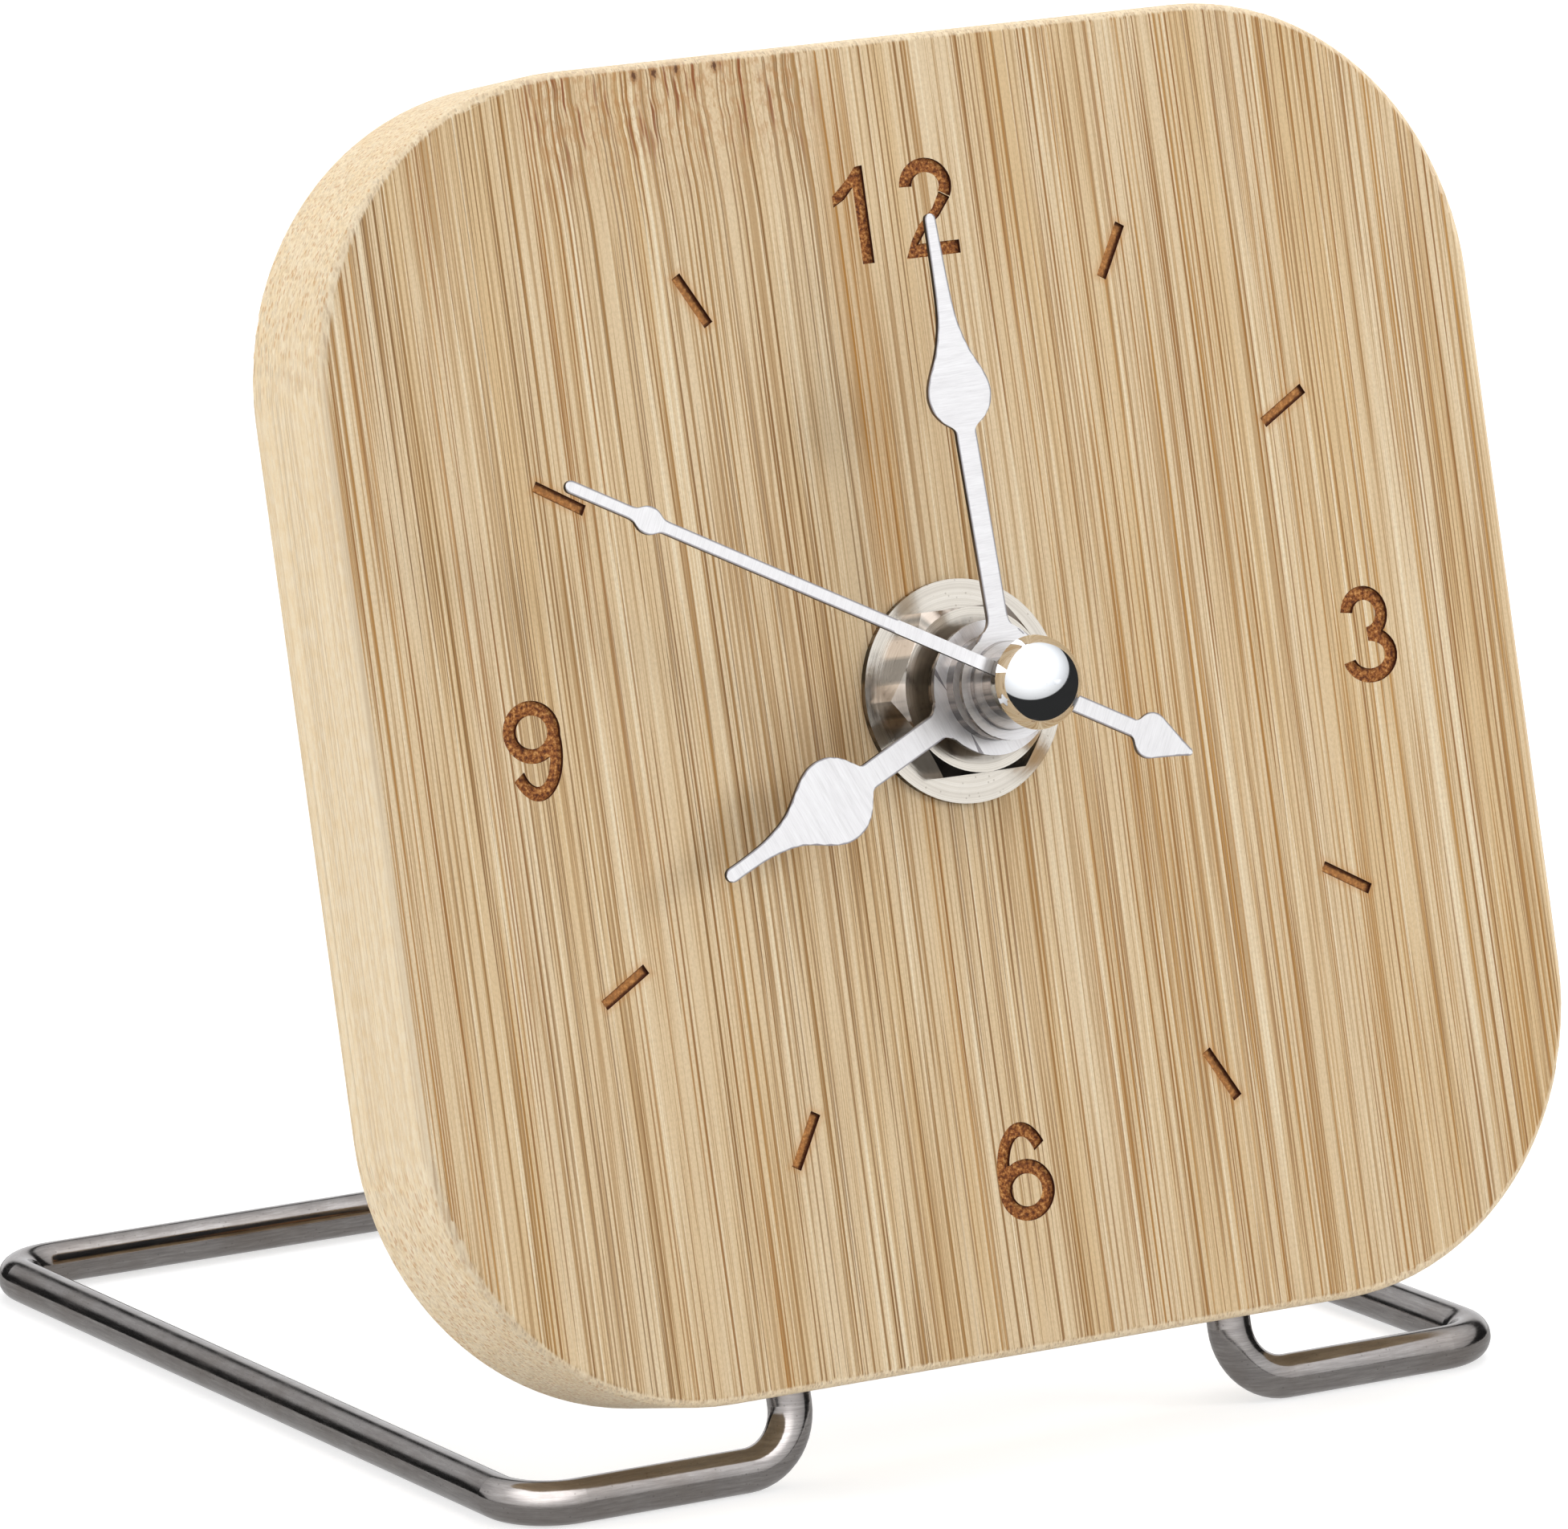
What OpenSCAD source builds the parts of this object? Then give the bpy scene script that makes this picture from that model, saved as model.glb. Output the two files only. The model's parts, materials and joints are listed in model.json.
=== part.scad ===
// Bamboo desk clock: a leaning bamboo plate on a bent wire stand,
// with a quartz movement let into its back and three hands in front.
// The part stands on z = 0 and faces -y; the origin is below the middle of its box.

/* [Plate] */
// Width of the bamboo plate
plate_w = 100; // [90:1:130]
// Height of the bamboo plate, along its own slope
plate_h = 100; // [90:1:130]
// Thickness of the bamboo plate
plate_t = 12; // [10:0.5:18]
// Radius of the plate's four corners
corner_r = 23; // [6:0.5:30]
// Rounding along the plate's front and back edges
edge_r = 0.8; // [0.3:0.1:2]
// How far the plate leans back from upright, in degrees
lean = 12.5; // [8:0.5:20]
// Wood left between the face and the pocket in the back
web_t = 5; // [3:0.25:6]
// Gap between the movement and the wall of its pocket
pocket_gap = 1; // [0.5:0.1:3]

/* [Dial] */
// How far the dial's centre sits above the plate's centre
dial_rise = 0.2; // [0:0.1:1]
// Distance from the dial's centre to the inner end of an hour mark
tick_inner_r = 34.3; // [30:0.1:36]
// Length of an hour mark
tick_len = 4.5; // [2:0.1:6]
// Width of an hour mark
tick_w = 0.85; // [0.5:0.05:1.5]
// Height of a numeral
numeral_h = 7.5; // [5:0.1:8]
// Width of a numeral's stroke
numeral_stroke = 1.1; // [0.6:0.05:1.4]
// Depth of the burnt marks and numerals
engrave_d = 0.35; // [0.1:0.05:0.8]

/* [Stand] */
// Thickness of the stand's wire
wire_d = 3.4; // [2.5:0.1:4.5]
// Width of the stand, between the middles of its side bars
stand_w = 85.3; // [70:0.1:96]
// Distance from the plate's centre back to the middle of the rear bar
stand_reach = 82.8; // [65:0.1:100]
// Gap between the table and the lowest point of the plate
foot_gap = 5.9; // [5.5:0.1:20]
// Distance between the two uprights that enter the plate
upright_gap = 38.9; // [30:0.5:60]
// Radius of the wire's bends, at its middle
bend_r = 4.4; // [2.8:0.1:6]
// Wood left between the stand's two sockets and the movement's pocket
socket_wall = 7.4; // [3:0.1:12]

/* [Movement case] */
// Width of the movement's case
case_w = 56; // [56:0.5:60]
// Wall of the movement's case
case_wall = 1.2; // [0.9:0.05:1.5]
// Radius of the case's corners
case_corner_r = 3; // [1.5:0.25:4]
// Diameter of the rubber gasket
gasket_d = 20; // [16:0.5:30]
// Thickness of the rubber gasket
gasket_t = 1; // [0.5:0.1:2]

/* [Hub] */
// Outer diameter of the threaded bushing
bushing_d = 8; // [7.4:0.1:9]
// How far the bushing stands out of the face
bushing_out = 3.7; // [3.3:0.1:4.2]
// Diameter of the flat washer
washer_d = 17; // [14.5:0.5:22]
// Thickness of the flat washer
washer_t = 0.6; // [0.3:0.1:1]
// Width of the hex nut across its flats
nut_af = 12.5; // [11:0.1:14]
// Thickness of the hex nut
nut_t = 2.2; // [1.5:0.1:2.6]

/* [Hands] */
// Thickness of the hands' sheet metal
hand_t = 0.35; // [0.2:0.05:0.5]
// Length of the hour hand
hour_len = 27; // [20:0.5:30]
// Length of the minute hand
minute_len = 35.8; // [30:0.5:40]
// Length of the seconds hand
seconds_len = 41.2; // [34:0.5:46]
// Length of the seconds hand's tail
tail_len = 15; // [11:0.5:18]
// Height of the hour hand's back above the face
hour_level = 4.7; // [4.4:0.1:5.2]
// Height of the minute hand's back above the face
minute_level = 7.2; // [6.9:0.1:7.8]
// Height of the seconds hand's back above the face
seconds_level = 10.2; // [9.9:0.1:11]
// Diameter of the hour hand's hub
hour_hub_d = 10.2; // [9:0.1:11]
// Diameter of the minute hand's hub
minute_hub_d = 8.2; // [7.2:0.1:9]
// Diameter of the domed cap
cap_d = 7.1; // [5:0.1:9]
// Height of the domed cap
cap_h = 3.2; // [2:0.1:3.5]
// Direction of the hour hand, clockwise from twelve
hour_angle = 245.3; // [0:0.1:360]
// Direction of the minute hand, clockwise from twelve
minute_angle = 357.8; // [0:0.1:360]
// Direction of the seconds hand, clockwise from twelve
seconds_angle = 297.6; // [0:0.1:360]

/* [Train] */
// Distance from the centre to the third wheel's axis
third_reach = 7.2; // [7:0.05:7.3]
// Distance from the centre to the fifth wheel's axis
fifth_reach = 7.4; // [7.3:0.05:7.5]
// Distance from the fifth wheel's axis to the rotor's
rotor_reach = 5.6; // [5.4:0.05:5.8]
// Distance from the centre to the setting wheel's axis
setting_reach = 8.4; // [8.2:0.05:8.6]
// Thickness of the wheels
wheel_t = 0.6; // [0.4:0.05:0.7]
// Diameter of the setting knob
knob_d = 9; // [7:0.25:12]
// Height of the setting knob
knob_h = 3; // [2:0.25:5]

/* [Battery] */
// Diameter of the battery, whose length follows the case's width
battery_d = 14.2; // [13.2:0.1:15]
// Room behind the battery for the bent leaf that presses on it
leaf_room = 2.2; // [1.5:0.1:4]

/* [Hidden] */
$fn = 64;

// Cuts run this far past the faces that they open
overrun = 1;
// Radial room round a part that turns
run_fit = 0.06;
// Radial room round a part that is pressed or screwed on
seat_fit = 0.02;
// Room between a piece and the slot that it is dropped into
drop_fit = 0.1;

wire_r = wire_d / 2;

// Levels behind the face, from the front to the back
pocket_floor = -web_t;
case_front = pocket_floor - gasket_t;
case_floor = case_front - case_wall;

// The gear train, level by level
level_gap = 0.35;
wheel_gap = 0.5;
flange_t = 0.8;
plate_gap_t = 0.8;
magnet_t = 2;
hour_wheel_w = case_floor - flange_t - level_gap;
minute_work_w = hour_wheel_w - wheel_t - level_gap;
middle_w = minute_work_w - wheel_t - level_gap;
centre_wheel_w = middle_w - plate_gap_t - level_gap;
third_wheel_w = centre_wheel_w - wheel_t - wheel_gap;
seconds_wheel_w = third_wheel_w - wheel_t - wheel_gap;
fifth_wheel_w = seconds_wheel_w - wheel_t - wheel_gap;
magnet_w = fifth_wheel_w - wheel_t - wheel_gap;
rear_bridge_w = magnet_w - magnet_t - level_gap;

// The case is as deep as its battery or its train needs
bay_gap = 0.3;
board_room = 1.85;
case_back = min(case_floor - battery_d - 2 * bay_gap, rear_bridge_w - plate_gap_t - board_room - case_wall);
cover_front = case_back + case_wall;

// Teeth of each wheel and pinion
seconds_teeth = 40;
fifth_pinion_teeth = 8;
fifth_teeth = 48;
rotor_pinion_teeth = 8;
seconds_pinion_teeth = 8;
third_teeth = 60;
third_pinion_teeth = 8;
centre_teeth = 64;
cannon_teeth = 12;
setting_teeth = 36;
setting_pinion_teeth = 10;
hour_teeth = 40;

// Modules that make each pair fill its distance
function pair_module(distance, a, b) = 2 * distance / (a + b);
rotor_module = pair_module(rotor_reach, fifth_teeth, rotor_pinion_teeth);
fifth_module = pair_module(fifth_reach, seconds_teeth, fifth_pinion_teeth);
third_module = pair_module(third_reach, seconds_pinion_teeth, third_teeth);
centre_module = pair_module(third_reach, third_pinion_teeth, centre_teeth);
minute_module = pair_module(setting_reach, cannon_teeth, setting_teeth);
hour_module = pair_module(setting_reach, setting_pinion_teeth, hour_teeth);

// Where the axes stand round the centre, and the rotor round the fifth wheel
third_dir = 100;
fifth_dir = -10;
rotor_dir = 50;
setting_dir = 190;
third_at = polar(third_reach, third_dir);
fifth_at = polar(fifth_reach, fifth_dir);
rotor_at = fifth_at + polar(rotor_reach, rotor_dir);
setting_at = polar(setting_reach, setting_dir);

// Tooth form: heights and play as shares of the module and the pitch
pressure_angle = 20;
wheel_tip_share = 0.5;
wheel_root_share = 1.15;
pinion_tip_share = 0.9;
pinion_root_share = 0.8;
tooth_play_share = 0.1;

// Shafts and pipes, from the middle outwards
arbor_r = 0.5;
pivot_r = 0.3;
pipe_wall = 1;
thin_pipe_wall = 0.8;
minute_pipe_r = arbor_r + run_fit + pipe_wall;
hour_pipe_r = minute_pipe_r + run_fit + thin_pipe_wall;
setting_arbor_r = 0.9;
bushing_r = bushing_d / 2;
thread_pitch = 0.75;
thread_depth = 0.25;
bushing_flange = 1.4;
bushing_flange_r = bushing_r + bushing_flange;
nut_chamfer_angle = 35;

// Hubs of the hands
hour_boss_r = 4;
hour_boss_h = 1;
minute_boss_r = 3.35;
minute_boss_h = 0.45;
hand_nut_r = 2.6;
hand_nut_h = 1.3;
seconds_tube_r = 1.1;
seconds_tube_h = 0.5;
cap_stem_r = 1.3;
cap_stem_h = 1.1;
hour_top = hour_level + hand_t + hour_boss_h;
minute_top = minute_level + hand_t + minute_boss_h;
hand_nut_top = minute_top + hand_nut_h;
seconds_top = seconds_level + hand_t;
cap_base = seconds_top + cap_stem_h;
// The cap is a slice of a ball with this radius
cap_ball_r = (cap_d * cap_d / 4 + cap_h * cap_h) / (2 * cap_h);
cap_ball_w = cap_base + cap_h - cap_ball_r;

// The plate's centre stands where the whole part is centred from front to back
front_reach = cap_ball_w * cos(lean) + cap_ball_r - dial_rise * sin(lean);
back_reach = stand_reach + wire_r;
centre_y = (front_reach - back_reach) / 2;

// The plate's centre stands above the table by its lowest point's gap
centre_h = foot_gap + edge_r + (plate_h / 2 - edge_r) * cos(lean) + (plate_t - edge_r) * sin(lean);

// The uprights run in the middle of the plate's thickness
upright_w = -plate_t / 2;
upright_foot_v = (wire_r - centre_h - upright_w * sin(lean)) / cos(lean);
front_bar_y = centre_y - upright_w * cos(lean) + upright_foot_v * sin(lean);
rear_bar_y = centre_y + stand_reach;

// Numerals: strokes as ovals [middle x, middle y, radius x, radius y, from, to]
// and outlines, all as shares of the numeral's height less one stroke
numeral_size = numeral_h - numeral_stroke;
two_oval_shares = [0, 0.255, 0.27, 0.245, -28, 178];
three_oval_shares = [[-0.03, 0.25, 0.245, 0.25, -88, 172], [-0.02, -0.25, 0.3, 0.25, -168, 88]];
six_oval_shares = [
    [0, -0.22, 0.29, 0.28, 0, 180], [0, -0.22, 0.29, 0.28, 180, 360], [0, -0.03, 0.29, 0.53, 35, 200]
];
one_outline_shares = [
    [0.075, -0.58], [0.075, 0.58], [-0.03, 0.57], [-0.16, 0.43], [-0.38, 0.25], [-0.38, 0.12],
    [-0.22, 0.2], [-0.085, 0.33], [-0.085, -0.58]
];
two_outline_shares = [
    [0.31, 0.09], [0.17, 0.17], [0.05, -0.02], [-0.16, -0.2], [-0.28, -0.37], [-0.38, -0.58],
    [0.36, -0.58], [0.36, -0.42], [-0.19, -0.42], [-0.08, -0.28], [0.13, -0.12]
];
// Sideways places of the two digits of twelve, as shares of the numeral's height
twelve_place_shares = [-0.37, 0.39];
oval_steps = 20;

// Hands: [distance, half width] along the blade, as shares of the hand's length
hour_blade_shares = [
    [0.16, 0.075], [0.187, 0.054], [0.196, 0.043], [0.207, 0.0375], [0.222, 0.037], [0.24, 0.037],
    [0.45, 0.037], [0.47, 0.037], [0.481, 0.041], [0.49, 0.053], [0.5, 0.067], [0.518, 0.089],
    [0.537, 0.104], [0.556, 0.115], [0.58, 0.121], [0.6, 0.1225], [0.63, 0.1185], [0.667, 0.102],
    [0.704, 0.078], [0.741, 0.055], [0.778, 0.04], [0.815, 0.031], [0.852, 0.0245], [0.9, 0.0215],
    [0.95, 0.0205], [0.982, 0.021]
];
minute_blade_shares = [
    [0.09, 0.065], [0.113, 0.047], [0.12, 0.036], [0.129, 0.029], [0.14, 0.025], [0.15, 0.024],
    [0.17, 0.024], [0.52, 0.024], [0.542, 0.0245], [0.55, 0.031], [0.559, 0.045], [0.573, 0.059],
    [0.587, 0.0685], [0.605, 0.074], [0.62, 0.0755], [0.643, 0.0715], [0.67, 0.06], [0.698, 0.0455],
    [0.726, 0.035], [0.754, 0.027], [0.782, 0.0215], [0.838, 0.0173], [0.922, 0.0145], [0.987, 0.0128]
];
seconds_blade_shares = [
    [0, 0.0125], [0.05, 0.0125], [0.77, 0.0121], [0.786, 0.0122], [0.796, 0.014], [0.802, 0.018],
    [0.811, 0.0235], [0.823, 0.0255], [0.835, 0.0235], [0.844, 0.018], [0.85, 0.014], [0.86, 0.0119],
    [0.88, 0.0117], [0.988, 0.0117]
];
tail_blade_shares = [
    [0, 0.045], [0.05, 0.045], [0.62, 0.045], [0.645, 0.046], [0.662, 0.06], [0.678, 0.085], [0.7, 0.107],
    [0.735, 0.118], [0.765, 0.115], [0.8, 0.1], [0.9, 0.0535], [0.975, 0.0205]
];
// Each step of a table becomes this many steps of a smooth curve
blade_steps = 3;
tip_steps = 10;

// The case's inside: the coil above the train, and below it a wall and the battery
core_v = 20;
bobbin_flange = 7;
coil_top_gap = 3.3;
train_room = 11;
partition_t = 1;
in_u = case_w / 2 - case_wall;
in_top = core_v + bobbin_flange / 2 + coil_top_gap;
case_top = in_top + case_wall;
partition_v = -train_room - partition_t;
battery_r = battery_d / 2;
battery_v = partition_v - bay_gap - battery_r;
battery_w = case_floor - bay_gap - battery_r;
case_low = battery_v - battery_r - bay_gap - case_wall;
case_h = case_top - case_low;
case_mid_v = (case_top + case_low) / 2;

// The plate's pocket, and the sockets that end short of it
pocket_w = case_w + 2 * pocket_gap;
pocket_h = case_h + 2 * pocket_gap;
pocket_low = dial_rise + case_mid_v - pocket_h / 2;
socket_d = plate_h / 2 + pocket_low - socket_wall;
socket_end_gap = 0.3;
post_r = 1.5;
pin_r = 0.7;
// Places of the four posts that carry the train's plates
train_left = -14;
train_right = 14.5;
train_inner = -10.6;
train_low = -9.1;
train_high = 9.6;
train_posts = [
    [train_left, train_low], [train_right, train_low], [train_inner, train_high], [train_right, train_high]
];
plate_margin = 1.7;

// Motor
rotor_magnet_r = 3;
rotor_air_gap = 0.4;
stator_ring = 1.4;
stator_t = 1;
core_w = 4;
coil_u = 5;
coil_len = 22;
flange_gap = 0.2;
bobbin_wall = 0.4;
bobbin_flange_t = 0.8;
winding_h = 6;
stator_mid_w = magnet_w - magnet_t / 2;
stator_front_w = stator_mid_w + stator_t / 2;
core_mid_w = stator_front_w + stator_t / 2;
core_left = coil_u - coil_len / 2 - flange_gap - core_w;
core_right = coil_u + coil_len / 2 + flange_gap + core_w;
core_high = core_v + core_w / 2;
arm_low = 11.6;
arm_wide = 3.4;
leg_wide = 3;
leg_in = 4.3;

// Circuit board
board_t = 0.7;
board_gap = 0.15;
board_w = cover_front + board_gap;
board_low = 12;
board_side_gap = 1.8;
board_half = in_u - board_side_gap;
board_post_inset = 2;
board_post_u = board_half - board_post_inset;
board_post_v = in_top - drop_fit - board_post_inset;
crystal_r = 1;
crystal_len = 6;
crystal_at = [-17, 16];
chip_r = 2.2;
chip_h = 0.9;
chip_at = [-15.5, 20.6];

// Battery and its contacts
terminal_r = 2.75;
terminal_h = 1.2;
sheet_t = 0.3;
contact_gap = 0.05;
contact_wide = 9;
contact_tongue = 3;
contact_rise = 1.5;
spring_wide = 5;
contact_u = in_u - drop_fit - sheet_t;
battery_end_u = contact_u - contact_gap;
battery_back_u = contact_gap + leaf_room - contact_u;
battery_len = battery_end_u - battery_back_u;

// Knob
knob_gap = 0.3;
knob_grooves = 20;
knob_groove_r = 0.45;
knob_slot = 1.2;
knob_slot_d = 0.8;

// Point at a distance and an angle
function polar(r, a) = [r * cos(a), r * sin(a)];

// Puts children in the plate's frame: x right, y up the plate, z out of the face
module on_plate() {
    translate([0, centre_y, centre_h]) rotate([90 - lean, 0, 0]) children();
}

// The same, with its origin at the dial's centre
module on_dial() {
    on_plate() translate([0, dial_rise, 0]) children();
}

// Disc or shaft between two levels
module disc(r, low, high) {
    translate([0, 0, low]) cylinder(r = r, h = high - low);
}

// Ring between two levels
module ring(outer, inner, low, high) {
    difference() {
        disc(outer, low, high);
        disc(inner, low - overrun, high + overrun);
    }
}

// Rectangle with round corners
module rounded_rect(w, h, r) {
    square([w - 2 * r, h], center = true);
    square([w, h - 2 * r], center = true);
    for (x = [-1, 1], y = [-1, 1]) translate([x * (w / 2 - r), y * (h / 2 - r)]) circle(r);
}

// Block with round corners between two levels
module slab(w, h, r, low, high) {
    translate([0, 0, low]) linear_extrude(high - low) rounded_rect(w, h, r);
}

// Plain block from its two corners
module block(a, b) {
    translate(a) cube(b - a);
}

// Half the width of a tooth, in degrees, at radius r
function unwind(a) = tan(a) * 180 / PI - a;
function tooth_half(teeth, pitch_r, r) =
    90 / teeth * (1 - tooth_play_share) + unwind(pressure_angle)
    - unwind(acos(min(1, pitch_r * cos(pressure_angle) / r)));

// Outline of a gear with involute teeth, its first tooth on the x axis
function gear_points(teeth, mod, tip_share, root_share) =
    let (
        pitch_r = teeth * mod / 2,
        base_r = pitch_r * cos(pressure_angle),
        tip_r = pitch_r + tip_share * mod,
        root_r = pitch_r - root_share * mod,
        radii = root_r < base_r ? [root_r, base_r, pitch_r, tip_r] : [root_r, pitch_r, tip_r],
        last = len(radii) - 1
    )
    [for (k = [0 : teeth - 1], side = [-1, 1], i = [0 : last])
        let (r = radii[side < 0 ? i : last - i])
        polar(r, 360 * k / teeth + side * tooth_half(teeth, pitch_r, r))];

module wheel(teeth, mod, phase, low, high) {
    translate([0, 0, low]) rotate(phase) linear_extrude(high - low)
        polygon(gear_points(teeth, mod, wheel_tip_share, wheel_root_share));
}

module pinion(teeth, mod, phase, low, high) {
    translate([0, 0, low]) rotate(phase) linear_extrude(high - low)
        polygon(gear_points(teeth, mod, pinion_tip_share, pinion_root_share));
}

// Turn of gear b that meshes with gear a, where b lies in direction dir from a
function mesh_phase(dir, phase_a, teeth_a, teeth_b) =
    dir + 180 - ((phase_a - dir) * teeth_a + 180) / teeth_b;

// Slope of a table's curve at one of its rows
function row_slope(rows, i) =
    let (before = rows[max(i - 1, 0)], after = rows[min(i + 1, len(rows) - 1)])
    (after[1] - before[1]) / (after[0] - before[0]);

// Point on the smooth curve between two rows, from their slopes
function curve_point(p, q, slope_p, slope_q, t) =
    let (step = q[0] - p[0], rest = 1 - t)
    [p[0] + step * t, p[1] * rest * rest * (1 + 2 * t) + q[1] * t * t * (1 + 2 * rest)
        + step * t * rest * (slope_p * rest - slope_q * t)];

// Table of shares with smooth steps between its rows
function smoothed(rows) = concat(
    [for (i = [0 : len(rows) - 2], k = [0 : blade_steps - 1])
        curve_point(rows[i], rows[i + 1], row_slope(rows, i), row_slope(rows, i + 1), k / blade_steps)],
    [rows[len(rows) - 1]]
);

// Outline of a blade from its [distance, half width] shares, with a round tip past the last row
function blade_points(length, rows) =
    let (last = rows[len(rows) - 1])
    concat(
        [for (row = rows) [row[1], row[0]] * length],
        [for (i = [1 : tip_steps - 1]) ([0, last[0]] + polar(last[1], 180 * i / tip_steps)) * length],
        [for (i = [len(rows) - 1 : -1 : 0]) [-rows[i][1], rows[i][0]] * length]
    );

// Flat blade pointing up the dial
module blade(length, shares, low) {
    translate([0, 0, low]) linear_extrude(hand_t) polygon(blade_points(length, smoothed(shares)));
}

// Stroke along an oval, as an outline
module oval_stroke(o) {
    half = numeral_stroke / 2;
    angles = [for (i = [0 : oval_steps]) o[4] + (o[5] - o[4]) * i / oval_steps];
    rx = o[2] * numeral_size;
    ry = o[3] * numeral_size;
    translate([o[0], o[1]] * numeral_size) polygon(concat(
        [for (a = angles) [(rx + half) * cos(a), (ry + half) * sin(a)]],
        [for (i = [oval_steps : -1 : 0]) [(rx - half) * cos(angles[i]), (ry - half) * sin(angles[i])]]
    ));
}

module one() {
    polygon(one_outline_shares * numeral_size);
}

module two() {
    oval_stroke(two_oval_shares);
    polygon(two_outline_shares * numeral_size);
}

module three() {
    for (o = three_oval_shares) oval_stroke(o);
}

module six() {
    for (o = six_oval_shares) oval_stroke(o);
}

// Everything that is burnt into the face, as one flat drawing
module dial_marks() {
    numeral_at = tick_inner_r + tick_len / 2;
    for (hour = [1 : 11]) {
        if (hour % 3 != 0) {
            rotate(-30 * hour) translate([-tick_w / 2, tick_inner_r]) square([tick_w, tick_len]);
        }
    }
    translate([twelve_place_shares[0] * numeral_h, numeral_at]) one();
    translate([twelve_place_shares[1] * numeral_h, numeral_at]) two();
    translate([numeral_at, 0]) three();
    translate([0, -numeral_at]) six();
    translate([-numeral_at, 0]) rotate(180) six();
}

// Section of the plate's rim, out to reach, with its two long edges rounded
module rim_section(reach) {
    translate([0, -plate_t]) square([reach - edge_r, plate_t]);
    translate([0, edge_r - plate_t]) square([reach, plate_t - 2 * edge_r]);
    for (w = [-edge_r, edge_r - plate_t]) translate([reach - edge_r, w]) circle(edge_r);
}

// Straight side of the plate, run out to reach from its middle line
module plate_side(length, reach) {
    translate([0, length / 2, 0]) rotate([90, 0, 0]) linear_extrude(length) rim_section(reach);
}

module plate_blank() {
    straight_w = plate_w - 2 * corner_r;
    straight_h = plate_h - 2 * corner_r;
    for (side = [0, 180]) {
        rotate(side) plate_side(straight_h, plate_w / 2);
        rotate(side + 90) plate_side(straight_w, plate_h / 2);
    }
    for (x = [-1, 1], y = [-1, 1]) {
        start = x > 0 ? (y > 0 ? 0 : 270) : (y > 0 ? 90 : 180);
        translate([x * straight_w / 2, y * straight_h / 2, 0]) rotate(start)
            rotate_extrude(angle = 90) rim_section(corner_r);
    }
}

module dial_plate() {
    color("burlywood") on_plate() difference() {
        plate_blank();
        translate([0, dial_rise, 0]) {
            translate([0, case_mid_v, 0])
                slab(pocket_w, pocket_h, case_corner_r + pocket_gap, -plate_t - overrun, pocket_floor);
            disc(bushing_r + drop_fit, pocket_floor - overrun, overrun);
            translate([0, 0, -engrave_d]) linear_extrude(engrave_d + overrun) dial_marks();
        }
        for (side = [-1, 1]) {
            translate([side * upright_gap / 2, -plate_h / 2 - overrun, upright_w]) rotate([-90, 0, 0])
                cylinder(r = wire_r + seat_fit, h = socket_d + overrun);
        }
    }
}

// Quarter turn of wire in the xy plane, its bend's centre at the origin
module wire_bend(start) {
    rotate(start) rotate_extrude(angle = 90) translate([bend_r, 0]) circle(wire_r);
}

// Straight wire along x
module wire_x(from, to) {
    translate([from, 0, 0]) rotate([0, 90, 0]) cylinder(r = wire_r, h = to - from);
}

// Half of the stand, to the right of its middle, each piece placed from the end of the one before
module wire_half() {
    foot_u = upright_gap / 2;
    side_x = stand_w / 2;
    side_len = rear_bar_y - front_bar_y - 2 * bend_r;
    upright_len = socket_d - socket_end_gap - plate_h / 2 - upright_foot_v;
    translate([0, front_bar_y, wire_r]) {
        translate([foot_u, 0, 0]) rotate([90 - lean, 0, 0]) {
            translate([0, bend_r, 0]) rotate([-90, 0, 0]) cylinder(r = wire_r, h = upright_len - bend_r);
            translate([bend_r, bend_r, 0]) wire_bend(180);
        }
        wire_x(foot_u + bend_r, side_x - bend_r);
        translate([side_x, bend_r, 0]) {
            translate([-bend_r, 0, 0]) wire_bend(270);
            rotate([-90, 0, 0]) cylinder(r = wire_r, h = side_len);
            translate([0, side_len, 0]) {
                translate([-bend_r, 0, 0]) wire_bend(0);
                translate([0, bend_r, 0]) wire_x(-side_x, -bend_r);
            }
        }
    }
}

module wire_stand() {
    color("silver") {
        wire_half();
        mirror([1, 0, 0]) wire_half();
    }
}

module rubber_gasket() {
    color("dimgray") on_dial() ring(gasket_d / 2, bushing_r + drop_fit, case_front, pocket_floor);
}

// Bore in a plate for a pivot, right through it
module pivot_bore(at, r, low, high) {
    translate([at[0], at[1], 0]) disc(r, low - overrun, high + overrun);
}

// Post that stands on the case's floor, with a pin on its end
module post(at, top, pin_top) {
    translate([at[0], at[1], 0]) {
        disc(post_r, top, case_floor);
        disc(pin_r, pin_top, top);
    }
}

module movement_case() {
    bay_end = contact_u - bay_gap;
    color("black") on_dial() {
        difference() {
            translate([0, case_mid_v, 0]) difference() {
                slab(case_w, case_h, case_corner_r, case_back, case_front);
                slab(2 * in_u, case_h - 2 * case_wall, case_corner_r - case_wall,
                    case_back - overrun, case_floor);
            }
            disc(bushing_r + seat_fit, case_floor - overrun, case_front + overrun);
            translate([setting_at[0], setting_at[1], 0])
                disc(pivot_r + run_fit, case_floor - overrun, case_floor + case_wall / 2);
        }
        block([-bay_end, partition_v, cover_front], [bay_end, partition_v + partition_t, case_floor]);
        for (at = train_posts) post(at, middle_w, middle_w - plate_gap_t);
        for (u = [core_left + core_w / 2, core_right - core_w / 2])
            post([u, core_v], core_mid_w + stator_t / 2, stator_front_w - stator_t);
        for (side = [-1, 1])
            post([side * board_post_u, board_post_v], board_w + board_t, board_w);
    }
}

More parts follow.
